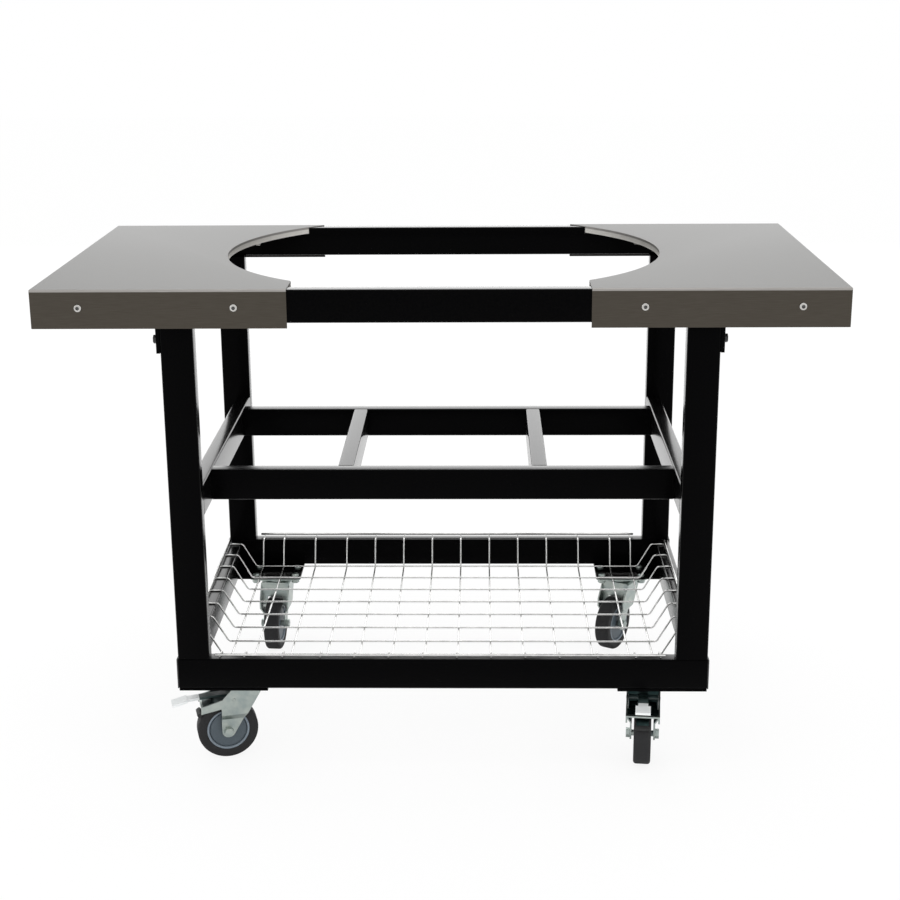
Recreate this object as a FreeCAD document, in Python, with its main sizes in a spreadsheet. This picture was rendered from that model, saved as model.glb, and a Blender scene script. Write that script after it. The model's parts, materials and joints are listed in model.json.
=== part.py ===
import FreeCAD, Part
import math
import os
import re
import Sketcher

# Kamado grill table on casters: a welded and bolted frame of rectangular steel tube, two
# stainless side tables cut to a round opening, an open middle shelf that carries the grill,
# a lift-out wire basket in the base, and four swivel casters, the front two with a brake pedal.
# Millimetres. X runs to the right, Y to the rear, Z up; the floor is Z = 0. Heights are above
# the floor, and every x and y below is measured from the frame's own middle. The row's origin
# is under the middle of the whole footprint, which the raised brake pedal makes longer in front,
# so the frame stands frame_back behind it.

# Driving dimensions
SIZES = {
    "frame_back": 18.0,
    # side tables
    "table_width": 1228.0,
    "table_depth": 633.0,
    "table_height": 800.0,
    "apron_depth": 60.0,
    "table_gauge": 1.5,
    "table_bend": 2.5,
    "table_inner_edge": 228.0,
    "opening_radius": 362.0,
    "opening_back": 31.7,
    "lip_depth": 12.0,
    # rectangular tube
    "tube_deep": 50.8,
    "tube_wide": 25.4,
    "tube_wall": 1.6,
    "tube_corner": 1.5,
    "cap_gauge": 2.5,
    "cap_tongue": 12.0,
    "cap_clearance": 0.2,
    # frame
    "leg_setback_x": 189.5,
    "leg_setback_y": 16.9,
    "top_rail_end_gap": 3.0,
    "shelf_height": 481.0,
    "shelf_front_setback": 104.1,
    "shelf_rear_setback": 92.0,
    "crossbar_out": 157.5,
    "leg_tab_gauge": 6.0,
    "leg_tab_width": 50.0,
    "leg_tab_drop": 50.0,
    "leg_tab_lap": 40.0,
    "weld_gap": 0.3,
    # fasteners
    "screw_front_inset": 79.4,
    "screw_rear_inset": 120.8,
    "screw_outer_inset": 72.6,
    "screw_below_top": 28.3,
    "screw_radius": 3.0,
    "screw_head_radius": 6.0,
    "screw_head": 3.0,
    "tab_bolt_below_rail": 30.0,
    "bolt_radius": 4.0,
    "bolt_head_radius": 7.0,
    "bolt_head": 3.5,
    "bolt_nut_radius": 7.5,
    "bolt_nut": 6.5,
    "screw_nut_radius": 5.8,
    "screw_nut": 5.0,
    # wire basket
    "wire": 3.0,
    "rim_rod": 4.5,
    "basket_aside": 4.0,
    "basket_clearance": 2.5,
    "basket_rim_inset_x": 7.5,
    "basket_rim_inset_y": 6.6,
    "basket_lip": 25.0,
    "basket_slope_x": 26.0,
    "basket_slope_y": 21.0,
    "rod_end_inset_x": 55.0,
    "rod_end_inset_y": 37.0,
    "cross_wire_first": 27.5,
    "cross_wire_pitch": 55.0,
    "cross_wire_wide_pitch": 61.0,
    "cross_wire_edge": 12.0,
    # casters
    "caster_inset_x": 94.3,
    "caster_inset_y": 64.4,
    "caster_height": 140.0,
    "corner_plate_x": 143.0,
    "corner_plate_y": 96.6,
    "corner_plate_gauge": 4.0,
    "bolt_pitch_x": 75.0,
    "bolt_pitch_y": 45.0,
    "top_plate_x": 95.0,
    "top_plate_y": 67.0,
    "top_plate_gauge": 3.0,
    "top_plate_corner": 6.0,
    "race_radius": 22.0,
    "race_depth": 7.0,
    "race_gap": 0.3,
    "running_gap": 0.05,
    "kingpin_radius": 6.0,
    "kingpin_head_radius": 9.5,
    "kingpin_head": 3.0,
    "wheel_radius": 50.0,
    "wheel_width": 28.0,
    "tread_shoulder": 5.0,
    "hub_radius": 36.0,
    "hub_width": 27.0,
    "hub_rim": 6.0,
    "hub_dish": 2.5,
    "trail": 30.0,
    "axle_radius": 5.0,
    "axle_nut_radius": 8.2,
    "axle_nut": 6.5,
    "fork_gauge": 2.7,
    "fork_width": 55.0,
    "fork_leg_width": 41.0,
    "fork_joggle_low": 72.0,
    "fork_joggle_high": 82.0,
    "fork_shoulder": 2.5,
    "crown_back": 29.0,
    "crown_front": 24.0,
    "fork_eye_radius": 10.8,
    "fork_lean": 31.0,
    "web_drop": 19.0,
    "hooded_web_drop": 11.0,
    "hood_reach": 74.0,
    "hood_top": 100.0,
    "hood_end": 88.0,
    "hood_rise": 10.0,
    "hood_start": 38.0,
    "hood_roof_start": 56.0,
    "pedal_pin_x": 20.0,
    "pedal_pin_z": 108.5,
    "pedal_pin_radius": 2.5,
    "pedal_barrel_radius": 5.0,
    "pedal_reach": 98.0,
    "pedal_rise": 19.0,
    "paddle_long": 26.0,
    "paddle_width": 24.0,
    "paddle_gauge": 4.0,
    "pedal_arm_width": 16.0,
    "pedal_travel": 14.5,
    # which way each caster trails, turned from +X
    "front_left_turn": 195.0,
    "front_right_turn": 264.0,
    "rear_left_turn": 265.5,
    "rear_right_turn": 239.0,
}

# What repeats has few faces: rims, bosses and bores are many-sided, with their flats at the radius,
# and only the pins that something turns on are true cylinders
WHEEL_SIDES = 28
ROUND_SIDES = 16
PIN_SIDES = 12
BORE_SIDES = 8
HEAD_SIDES = 8
HEX = 6
LONG_WIRES = 9
EVEN_CROSS_WIRES = 4
WIDE_CROSS_WIRES = 2
CUT_OVER = 5.0

# Heights and places that follow from the driving dimensions
RAIL_TOP = "(table_height - table_gauge)"
RAIL_BOTTOM = f"({RAIL_TOP} - tube_deep)"
RAIL_OUTSIDE = "(table_depth / 2 - table_gauge)"
RAIL_INSIDE = f"({RAIL_OUTSIDE} - tube_wide)"
BASE_BOTTOM = "(caster_height + corner_plate_gauge)"
BASE_TOP = f"({BASE_BOTTOM} + tube_deep)"
LEG_OUT = "(table_width / 2 - leg_setback_x)"
LEG_IN = f"({LEG_OUT} - tube_deep)"
LEG_FACE = "(table_depth / 2 - leg_setback_y)"
LEG_BACK = f"({LEG_FACE} - tube_wide)"
SHELF_FRONT = f"({LEG_FACE} - shelf_front_setback)"
SHELF_REAR = f"({LEG_FACE} - shelf_rear_setback)"
CASTER_OUT = f"({LEG_OUT} - caster_inset_x)"
CASTER_FORE = f"({LEG_FACE} - caster_inset_y)"
SCREW_Z = "(table_height - screw_below_top)"
TAB_BOLT_Z = f"({RAIL_BOTTOM} - tab_bolt_below_rail)"
BOSS_BOTTOM = "(caster_height - top_plate_gauge - race_depth)"
CROWN_TOP = f"({BOSS_BOTTOM} - race_gap)"
CROWN_BOTTOM = f"({CROWN_TOP} - fork_gauge)"
LIP_Z = f"({BASE_TOP} + wire / 2)"
CROSS_FLOOR_Z = f"({BASE_BOTTOM} + basket_clearance + wire / 2)"
LONG_FLOOR_Z = f"({CROSS_FLOOR_Z} + wire)"
RIM_X = f"({LEG_OUT} - basket_rim_inset_x)"
RIM_Y = f"({LEG_FACE} - basket_rim_inset_y)"
FLOOR_X = f"({RIM_X} - basket_lip - basket_slope_x)"
FLOOR_Y = f"({RIM_Y} - basket_lip - basket_slope_y)"

ALONG_X = "rotation(vector(1; 1; 1); 120)"
ALONG_Y = "rotationx(90)"
UPRIGHT = "rotationz(90)"
NO_TURN = "rotationz(0)"
FORWARDS = "rotationx(90)"
SIDES = (("left", -1), ("right", 1))
ENDS = (("front", -1), ("rear", 1))

doc = FreeCAD.newDocument("kamado_grill_table")
sheet = doc.addObject("Spreadsheet::Sheet", "Sizes")
for row, (name, number) in enumerate(SIZES.items(), 1):
    sheet.set(f"A{row}", name)
    sheet.set(f"B{row}", str(number))
    sheet.setAlias(f"B{row}", name)
doc.recompute()

nodes = {}


def bound(formula):
    """Writes a formula in the sheet's words as an expression on the sheet."""
    return re.sub(r"[a-z_]\w*", lambda m: f"Sizes.{m[0]}" if m[0] in SIZES else m[0], str(formula))


def value(formula):
    """The number that a formula gives now."""
    return float(sheet.evalExpression(bound(formula)))


def add(kind, name, **formulas):
    """Adds an object and binds each named property to its formula."""
    made = doc.addObject(kind, name)
    for prop, formula in formulas.items():
        made.setExpression(prop, bound(formula))
    return made


def place(made, x, y, z, turn=NO_TURN, before=""):
    """Binds an object's place: before is a placement that comes first, such as a caster's."""
    made.setExpression("Placement", bound(f"{before}placement(vector({x}; {y}; {z}); {turn})"))
    return made


def stand(made, x, y, z, turn=NO_TURN):
    """Binds a frame piece's place, with y measured from the frame's middle."""
    return place(made, x, f"frame_back + {y}", z, turn)


def keep(made, label):
    """Makes an object a sub-part under its own label."""
    made.Label = label
    nodes[label] = made
    return made


def body(name):
    return doc.addObject("PartDesign::Body", name)


def sketch_on(owner, role):
    """A new sketch on one of a body's own origin planes."""
    sketch = owner.newObject("Sketcher::SketchObject", f"{owner.Name}_sketch")
    plane = next(f for f in owner.Origin.OriginFeatures if f.Role == role)
    sketch.AttachmentSupport = [(plane, "")]
    sketch.MapMode = "FlatFace"
    return sketch


def pin(sketch, line, end, axis, formula):
    """Holds one point of a sketch at a distance from its origin."""
    number = sketch.addConstraint(
        Sketcher.Constraint(f"Distance{axis}", -1, 1, line, end, value(formula))
    )
    sketch.setExpression(f"Constraints[{number}]", bound(formula))


def path(sketch, points, closed=True):
    """Draws straight lines through points, each coordinate a formula."""
    corners = [FreeCAD.Vector(value(x), value(y), 0) for x, y in points]
    spans = len(points) if closed else len(points) - 1
    first = sketch.GeometryCount
    for i in range(spans):
        sketch.addGeometry(Part.LineSegment(corners[i], corners[(i + 1) % len(corners)]), False)
    for i in range(spans if closed else spans - 1):
        sketch.addConstraint(
            Sketcher.Constraint("Coincident", first + i, 2, first + (i + 1) % spans, 1)
        )
    for i, (x, y) in enumerate(points):
        line, end = (first + i, 1) if i < spans else (first + spans - 1, 2)
        pin(sketch, line, end, "X", x)
        pin(sketch, line, end, "Y", y)


def rectangle(sketch, half_x, half_y):
    path(sketch, [(f"{i} * ({half_x})", f"{j} * ({half_y})")
                  for i, j in ((-1, -1), (1, -1), (1, 1), (-1, 1))])


def pad(owner, sketch, length, middle=True):
    made = owner.newObject("PartDesign::Pad", f"{owner.Name}_pad")
    made.Profile = sketch
    made.SideType = "Symmetric" if middle else "One side"
    made.setExpression("Length", bound(length))
    owner.Tip = made
    doc.recompute()
    return made


def ease_edges(owner, feature, size, wanted):
    """Bevels the edges of a body's feature that a test picks out."""
    names = [f"Edge{i}" for i, edge in enumerate(feature.Shape.Edges, 1) if wanted(edge)]
    made = owner.newObject("PartDesign::Chamfer", f"{owner.Name}_eased")
    made.Base = (feature, names)
    made.setExpression("Size", bound(size))
    owner.Tip = made
    return made


def runs_along(edge, axis, *tests):
    """True for a straight edge along an axis whose middle is within the tests."""
    if not isinstance(edge.Curve, Part.Line):
        return False
    way = (edge.Vertexes[-1].Point - edge.Vertexes[0].Point).normalize()
    middle = edge.CenterOfMass
    return abs(getattr(way, axis)) > 0.999 and all(
        abs(abs(getattr(middle, letter)) - value(at)) < 0.01 for letter, at in tests
    )


def prism(name, sides, radius, height):
    """A many-sided pin whose corners lie at the radius."""
    made = add("Part::Prism", name, Circumradius=radius, Height=height)
    made.Polygon = sides
    return made


def hole(name, sides, radius, length):
    """A cutter whose flats lie at the radius, so that a pin with that many sides is clear in it."""
    return prism(name, sides, f"({radius}) / cos(180 / {sides})", length)


def turned(name, sides, stations):
    """A turned form about Z as a ruled loft; each station is a height and the radius of its flats."""
    rings = []
    for z, radius in stations:
        ring = add("Part::RegularPolygon", f"{name}_ring", Circumradius=f"({radius}) / cos(180 / {sides})")
        ring.Polygon = sides
        rings.append(place(ring, "0", "0", z, f"rotationz(180 / {sides})"))
    made = doc.addObject("Part::Loft", name)
    made.Sections = rings
    made.Solid = True
    made.Ruled = True
    return made


def cylinder(name, radius, height):
    return add("Part::Cylinder", name, Radius=radius, Height=height)


def box(name, length, width, height):
    return add("Part::Box", name, Length=length, Width=width, Height=height)


def fuse(name, *shapes):
    made = doc.addObject("Part::MultiFuse", name)
    made.Shapes = list(shapes)
    made.Refine = True
    return made


def cut(name, base, *tools):
    made = doc.addObject("Part::Cut", name)
    made.Base = base
    made.Tool = tools[0] if len(tools) == 1 else fuse(f"{name}_tools", *tools)
    return made


def common(name, *shapes):
    made = doc.addObject("Part::MultiCommon", name)
    made.Shapes = list(shapes)
    return made


def group(label, members):
    """A node of several separate solids."""
    made = doc.addObject("Part::Compound", label)
    made.Links = list(members)
    return keep(made, label)


def mirrored_low(sign, near, far):
    """The lower x or y of a span that lies near to far from the middle, on one side."""
    return near if sign > 0 else f"-({far})"


def tube(name, length):
    """A length of rectangular tube about its own middle, deep along its Y, running along its Z."""
    owner = body(name)
    section = sketch_on(owner, "XY_Plane")
    rectangle(section, "tube_wide / 2", "tube_deep / 2")
    rectangle(section, "tube_wide / 2 - tube_wall", "tube_deep / 2 - tube_wall")
    run = pad(owner, section, length)
    ease_edges(owner, run, "tube_corner", lambda e: runs_along(e, "z", ("x", "tube_wide / 2")))
    return owner


def fastener(name, shank, shank_long, head, head_high, sides):
    """A screw or bolt: head from its Z = 0 up, shank down."""
    top = prism(f"{name}_head", sides, head, head_high)
    stem = prism(f"{name}_shank", HEX, shank, f"{shank_long} + {head_high} / 2")
    place(stem, "0", "0", f"-({shank_long})")
    return fuse(name, top, stem)


def copies(label, master, places):
    """A group of copies of one piece; each place is x, y, z and a turn."""
    members = []
    for number, (x, y, z, turn) in enumerate(places, 1):
        copy = doc.addObject("App::Link", f"{label}_{number}")
        copy.LinkedObject = master
        stand(copy, x, y, z, turn)
        members.append(copy)
    return group(label, members)


def screw_hole(name, x, y, length):
    """A cutter for an apron screw's hole, running forwards from its place."""
    return stand(hole(name, HEX, "screw_radius + running_gap", length), x, y, SCREW_Z, FORWARDS)


def screws_out(end):
    """How far from the middle a table's two screws stand, on its front or rear apron."""
    inset = "screw_front_inset" if end < 0 else "screw_rear_inset"
    return f"(table_inner_edge + {inset})", "(table_width / 2 - screw_outer_inset)"


def screw_places(end):
    """The x of the four screws on the front or the rear."""
    return [f"{side} * {out}" for side in (-1, 1) for out in screws_out(end)]


def top_frame():
    """Front and rear rails that carry the tables' screws, and side rails over the legs."""
    for end, sign in ENDS:
        rail = tube(f"top_{end}_tube", "table_width - 2 * (table_gauge + cap_gauge + top_rail_end_gap)")
        stand(rail, "0", f"{sign} * ({RAIL_OUTSIDE} - tube_wide / 2)", f"{RAIL_TOP} - tube_deep / 2",
              ALONG_X)
        cutters = [
            screw_hole(f"top_{end}_hole", x, f"{sign} * {RAIL_OUTSIDE} + 1.5 * tube_wide", "3 * tube_wide")
            for x in screw_places(sign)
        ]
        keep(cut(f"top_{end}", rail, *cutters), f"top_rail_{end}")
    for side, sign in SIDES:
        rail = tube(f"top_{side}_tube", f"2 * {RAIL_INSIDE}")
        keep(rail, f"top_rail_{side}")
        stand(rail, f"{sign} * ({LEG_OUT} - tube_wide / 2)", "0", f"{RAIL_TOP} - tube_deep / 2", ALONG_Y)


def legs():
    """Upright tubes from the base frame to the top frame, each bolted to a tab through one hole."""
    for end, along in ENDS:
        for side, across in SIDES:
            name = f"{end}_{side}"
            upright = tube(f"leg_{name}_tube", f"{RAIL_BOTTOM} - {BASE_TOP}")
            stand(upright, f"{across} * ({LEG_OUT} - tube_deep / 2)",
                  f"{along} * ({LEG_FACE} - tube_wide / 2)",
                  f"({RAIL_BOTTOM} + {BASE_TOP}) / 2", UPRIGHT)
            cutter = hole(f"leg_{name}_hole", HEX, "bolt_radius + running_gap", "20")
            stand(cutter, f"{across} * {LEG_OUT} - 10", f"{along} * ({LEG_FACE} - tube_wide / 2)",
                  TAB_BOLT_Z, "rotationy(90)")
            keep(cut(f"leg_{name}", upright, cutter), f"leg_{name}")


def leg_tabs():
    """Plates welded to the top side rails that lap down outside the legs, with their bolts."""
    tabs = []
    for end, along in ENDS:
        for side, across in SIDES:
            name = f"tab_{end}_{side}"
            plate = body(f"{name}_plate")
            outline = sketch_on(plate, "YZ_Plane")
            inner, low, notch = f"{LEG_FACE} - leg_tab_width", "-leg_tab_drop", f"{RAIL_INSIDE} - weld_gap"
            path(outline, [(f"{along} * ({y})", z) for y, z in (
                (inner, low), (LEG_FACE, low), (LEG_FACE, "-weld_gap"), (notch, "-weld_gap"),
                (notch, "leg_tab_lap"), (inner, "leg_tab_lap"),
            )])
            pad(plate, outline, "leg_tab_gauge")
            stand(plate, f"{across} * ({LEG_OUT} + leg_tab_gauge / 2)", "0", RAIL_BOTTOM)
            cutter = hole(f"{name}_hole", HEX, "bolt_radius + running_gap", "40")
            stand(cutter, f"{across} * {LEG_OUT} - 20", f"{along} * ({LEG_FACE} - tube_wide / 2)",
                  TAB_BOLT_Z, "rotationy(90)")
            tabs.append(cut(name, plate, cutter))
    group("leg_tabs", tabs)
    bolt = fastener("tab_bolt", "bolt_radius", "leg_tab_gauge + 3 * tube_wall", "bolt_head_radius",
                    "bolt_head + 2", HEX)
    places = [
        (f"{across} * ({LEG_OUT} + leg_tab_gauge)", f"{along} * ({LEG_FACE} - tube_wide / 2)",
         TAB_BOLT_Z, f"rotationy({90 * across})")
        for _, along in ENDS for _, across in SIDES
    ]
    copies("leg_tab_bolts", bolt, places)


def shelf():
    """The open frame between the legs that the grill stands on."""
    middle = "shelf_height - tube_deep / 2"
    for side, sign in SIDES:
        rail = keep(tube(f"shelf_{side}", f"2 * {LEG_BACK}"), f"shelf_side_rail_{side}")
        stand(rail, f"{sign} * ({LEG_IN} + tube_wide / 2)", "0", middle, ALONG_Y)
        bar = keep(tube(f"crossbar_{side}", f"{SHELF_FRONT} + {SHELF_REAR} - 2 * tube_wide"),
                   f"shelf_crossbar_{side}")
        stand(bar, f"{sign} * crossbar_out", f"({SHELF_REAR} - {SHELF_FRONT}) / 2", middle, ALONG_Y)
    front = keep(tube("shelf_front_tube", f"2 * {LEG_IN}"), "shelf_rail_front")
    stand(front, "0", f"tube_wide / 2 - {SHELF_FRONT}", middle, ALONG_X)
    rear = keep(tube("shelf_rear_tube", f"2 * {LEG_IN}"), "shelf_rail_rear")
    stand(rear, "0", f"{SHELF_REAR} - tube_wide / 2", middle, ALONG_X)


def base_frame():
    """The bottom rails that the legs stand on."""
    middle = f"{BASE_BOTTOM} + tube_deep / 2"
    for end, sign in ENDS:
        rail = keep(tube(f"base_{end}", f"2 * {LEG_OUT}"), f"base_rail_{end}")
        stand(rail, "0", f"{sign} * ({LEG_FACE} - tube_wide / 2)", middle, ALONG_X)
    for side, sign in SIDES:
        rail = keep(tube(f"base_{side}", f"2 * {LEG_BACK}"), f"base_rail_{side}")
        stand(rail, f"{sign} * ({LEG_OUT} - tube_wide / 2)", "0", middle, ALONG_Y)


def end_caps():
    """Plugs in the open ends of the long rails: a plate outside, a tongue in the bore."""
    plate = box("cap_plate", "tube_wide", "tube_deep", "cap_gauge")
    place(plate, "-tube_wide / 2", "-tube_deep / 2", "0")
    slack = "tube_wall - cap_clearance"
    tongue = box("cap_tongue", f"tube_wide - 2 * ({slack}) - 4 * cap_clearance",
                 f"tube_deep - 2 * ({slack}) - 4 * cap_clearance", "cap_tongue + cap_gauge / 2")
    place(tongue, f"{slack} + 2 * cap_clearance - tube_wide / 2",
          f"{slack} + 2 * cap_clearance - tube_deep / 2", "-cap_tongue")
    cap = fuse("cap", plate, tongue)
    rail_end = "table_width / 2 - table_gauge - cap_gauge - top_rail_end_gap"
    rows = [(rail_end, f"({RAIL_OUTSIDE} - tube_wide / 2)", f"{RAIL_TOP} - tube_deep / 2"),
            (LEG_OUT, f"({LEG_FACE} - tube_wide / 2)", f"{BASE_BOTTOM} + tube_deep / 2")]
    places = [
        (f"{across} * ({x})", f"{along} * {y}", z,
         ALONG_X if across > 0 else f"rotationz(180) * {ALONG_X}")
        for x, y, z in rows for _, along in ENDS for _, across in SIDES
    ]
    copies("tube_end_caps", cap, places)


def side_table(side, sign):
    """A folded pan: flat top, aprons on three sides, and a round bite with a turned-down lip."""
    far = "table_width / 2"
    bottom = "table_height - apron_depth"
    blank = box(f"{side}_blank", f"{far} - table_inner_edge", "table_depth", "apron_depth")
    stand(blank, mirrored_low(sign, "table_inner_edge", far), "-table_depth / 2", bottom)
    doc.recompute()
    folded = doc.addObject("Part::Fillet", f"{side}_folded")
    folded.Base = blank
    lid = value("table_height")
    outer = value(far) * sign
    picked = []
    for number, edge in enumerate(blank.Shape.Edges, 1):
        middle = edge.CenterOfMass
        on_lid = abs(middle.z - lid) < 0.01
        outside = abs(middle.x - outer) < 0.01
        upright = abs(edge.tangentAt(edge.FirstParameter).z) > 0.999
        across = abs(edge.tangentAt(edge.FirstParameter).x) > 0.999
        if (on_lid and (across or outside)) or (upright and outside):
            picked.append((number, value("table_bend"), value("table_bend")))
    folded.Edges = picked
    hollow = box(f"{side}_hollow", f"{far} - table_gauge - table_inner_edge + {CUT_OVER}",
                 f"2 * {RAIL_OUTSIDE}", f"apron_depth - table_gauge + {CUT_OVER}")
    stand(hollow, mirrored_low(sign, f"table_inner_edge - {CUT_OVER}", f"{far} - table_gauge"),
          f"-{RAIL_OUTSIDE}", f"{bottom} - {CUT_OVER}")
    bite = cylinder(f"{side}_bite", "opening_radius", f"apron_depth + 2 * {CUT_OVER}")
    stand(bite, "0", "opening_back", f"{bottom} - {CUT_OVER}")
    holes = [
        screw_hole(f"{side}_hole", f"{sign} * {out}", f"{end} * table_depth / 2 + {CUT_OVER}",
                   f"2 * {CUT_OVER}")
        for end in (-1, 1) for out in screws_out(end)
    ]
    pan = cut(f"{side}_pan", folded, hollow, bite, *holes)
    ring = cylinder(f"{side}_ring", "opening_radius + table_gauge", "lip_depth - table_gauge / 2")
    stand(ring, "0", "opening_back", "table_height - lip_depth")
    bore = cylinder(f"{side}_bore", "opening_radius", f"lip_depth + {CUT_OVER}")
    stand(bore, "0", "opening_back", f"table_height - lip_depth - {CUT_OVER} / 2")
    reach = box(f"{side}_reach", "opening_radius", f"2 * ({RAIL_INSIDE} - race_gap)", "2 * lip_depth")
    stand(reach, mirrored_low(sign, "table_inner_edge", "table_inner_edge + opening_radius"),
          f"-({RAIL_INSIDE} - race_gap)", "table_height - 1.5 * lip_depth")
    lip = common(f"{side}_lip", cut(f"{side}_band", ring, bore), reach)
    keep(fuse(f"{side}_table", pan, lip), f"side_table_{side}")


def table_fasteners():
    """Screws through the aprons and rails, and the nuts on the rails' inner faces."""
    screw = fastener("apron_screw", "screw_radius", "table_gauge + tube_wide", "screw_head_radius",
                     "screw_head", HEAD_SIDES)
    nut = prism("apron_nut", HEX, "screw_nut_radius", "screw_nut")
    outwards = {-1: "rotationx(90)", 1: "rotationx(-90)"}
    screws = [(x, f"{sign} * table_depth / 2", SCREW_Z, outwards[sign])
              for _, sign in ENDS for x in screw_places(sign)]
    nuts = [(x, f"{sign} * {RAIL_INSIDE}", SCREW_Z, outwards[-sign])
            for _, sign in ENDS for x in screw_places(sign)]
    copies("table_screws", screw, screws)
    copies("table_screw_nuts", nut, nuts)


def bent_wire(name, points, gauge):
    """A wire swept along straight runs with mitred bends; points are along and up."""
    line = doc.addObject("Sketcher::SketchObject", f"{name}_line")
    line.Placement = FreeCAD.Placement(FreeCAD.Vector(), FreeCAD.Rotation(FreeCAD.Vector(1, 0, 0), 90))
    path(line, points, closed=False)
    section = add("Part::RegularPolygon", f"{name}_section", Circumradius=f"{gauge} / 2 / cos(30)")
    section.Polygon = HEX
    place(section, points[0][0], "0", points[0][1], "rotationy(90) * rotationz(30)")
    wire = doc.addObject("Part::Sweep", name)
    wire.Sections = [section]
    wire.Spine = (line, [])
    wire.Solid = True
    wire.Transition = "Right corner"
    return wire


def basket():
    """A welded wire basket whose lips lie on the base rails, so it lifts straight out."""
    def trough(rim, floor, floor_z):
        half = [(rim, LIP_Z), (f"({rim} - basket_lip)", LIP_Z), (floor, floor_z)]
        return [(f"-{out}", up) for out, up in half] + half[::-1]

    long_wire = bent_wire("long_wire", trough(RIM_X, FLOOR_X, LONG_FLOOR_Z), "wire")
    half_rows = LONG_WIRES // 2
    rows = [f"{i - half_rows} * ({FLOOR_Y} - wire) / {half_rows}" for i in range(LONG_WIRES)]
    copies("basket_long_wires", long_wire, [("-basket_aside", y, "0", NO_TURN) for y in rows])
    cross_wire = bent_wire("cross_wire", trough(RIM_Y, FLOOR_Y, CROSS_FLOOR_Z), "wire")
    even = [f"(cross_wire_first + {i} * cross_wire_pitch)" for i in range(EVEN_CROSS_WIRES)]
    wide = [f"({even[-1]} + {i} * cross_wire_wide_pitch)" for i in range(1, WIDE_CROSS_WIRES + 1)]
    columns = [f"{sign} * {x}" for sign in (-1, 1) for x in (*even, *wide, f"({FLOOR_X} - cross_wire_edge)")]
    copies("basket_cross_wires", cross_wire,
           [(f"{x} - basket_aside", "0", "0", UPRIGHT) for x in columns])
    rim_z = f"{LIP_Z} + wire / 2 + rim_rod / 2"
    ends_y, ends_x = f"({RIM_Y} - rod_end_inset_y)", f"({RIM_X} - rod_end_inset_x)"
    side_rod = bent_wire("side_rod", [(f"-{ends_y}", "0"), (ends_y, "0")], "rim_rod")
    end_rod = bent_wire("end_rod", [(f"-{ends_x}", "0"), (ends_x, "0")], "rim_rod")
    rods = []
    for rod, places in (
        (side_rod, [(f"{sign} * {RIM_X} - basket_aside", "0", UPRIGHT) for sign in (-1, 1)]),
        (end_rod, [("-basket_aside", f"{sign} * {RIM_Y}", NO_TURN) for sign in (-1, 1)]),
    ):
        for x, y, turn in places:
            copy = doc.addObject("App::Link", "rim_rod")
            copy.LinkedObject = rod
            rods.append(stand(copy, x, y, rim_z, turn))
    group("basket_rim_rods", rods)


def four_holes(name, radius, length, z):
    """Cutters at the caster's bolt pattern, about the swivel's axis."""
    cutters = []
    for i in (-1, 1):
        for j in (-1, 1):
            cutter = hole(f"{name}_hole", HEX, radius, length)
            cutters.append(place(cutter, f"{i} * bolt_pitch_x / 2", f"{j} * bolt_pitch_y / 2", z))
    return cutters


def corner_plate(name, across, along):
    """A plate welded under a corner of the base frame, drilled for the caster."""
    plate = box(f"{name}_plate", "corner_plate_x", "corner_plate_y", "corner_plate_gauge")
    x = mirrored_low(across, "caster_inset_x - corner_plate_x", "caster_inset_x")
    y = mirrored_low(along, "caster_inset_y - corner_plate_y", "caster_inset_y")
    place(plate, x, y, "caster_height")
    holes = four_holes(name, "bolt_radius + running_gap", "2 * corner_plate_gauge",
                       "caster_height - corner_plate_gauge / 2")
    made = cut(name, plate, *holes)
    stand(made, f"{across} * {CASTER_OUT}", f"{along} * {CASTER_FORE}", "0")
    keep(made, f"corner_plate_{name}")


def caster_top_plate(name):
    """The fixed half of the swivel: a drilled plate with a pressed round race below it."""
    owner = body(f"{name}_mount")
    outline = sketch_on(owner, "XY_Plane")
    rectangle(outline, "top_plate_x / 2", "top_plate_y / 2")
    sheet_pad = pad(owner, outline, "top_plate_gauge", middle=False)
    ease_edges(owner, sheet_pad, "top_plate_corner", lambda e: runs_along(e, "z"))
    place(owner, "0", "0", "caster_height - top_plate_gauge")
    race = prism(f"{name}_race", ROUND_SIDES, "race_radius", "race_depth + top_plate_gauge / 2")
    place(race, "0", "0", BOSS_BOTTOM)
    holes = four_holes(name, "bolt_radius + running_gap", "2 * top_plate_gauge",
                       "caster_height - 1.5 * top_plate_gauge")
    return cut(f"{name}_top", fuse(f"{name}_plate", owner, race), *holes)


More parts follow.
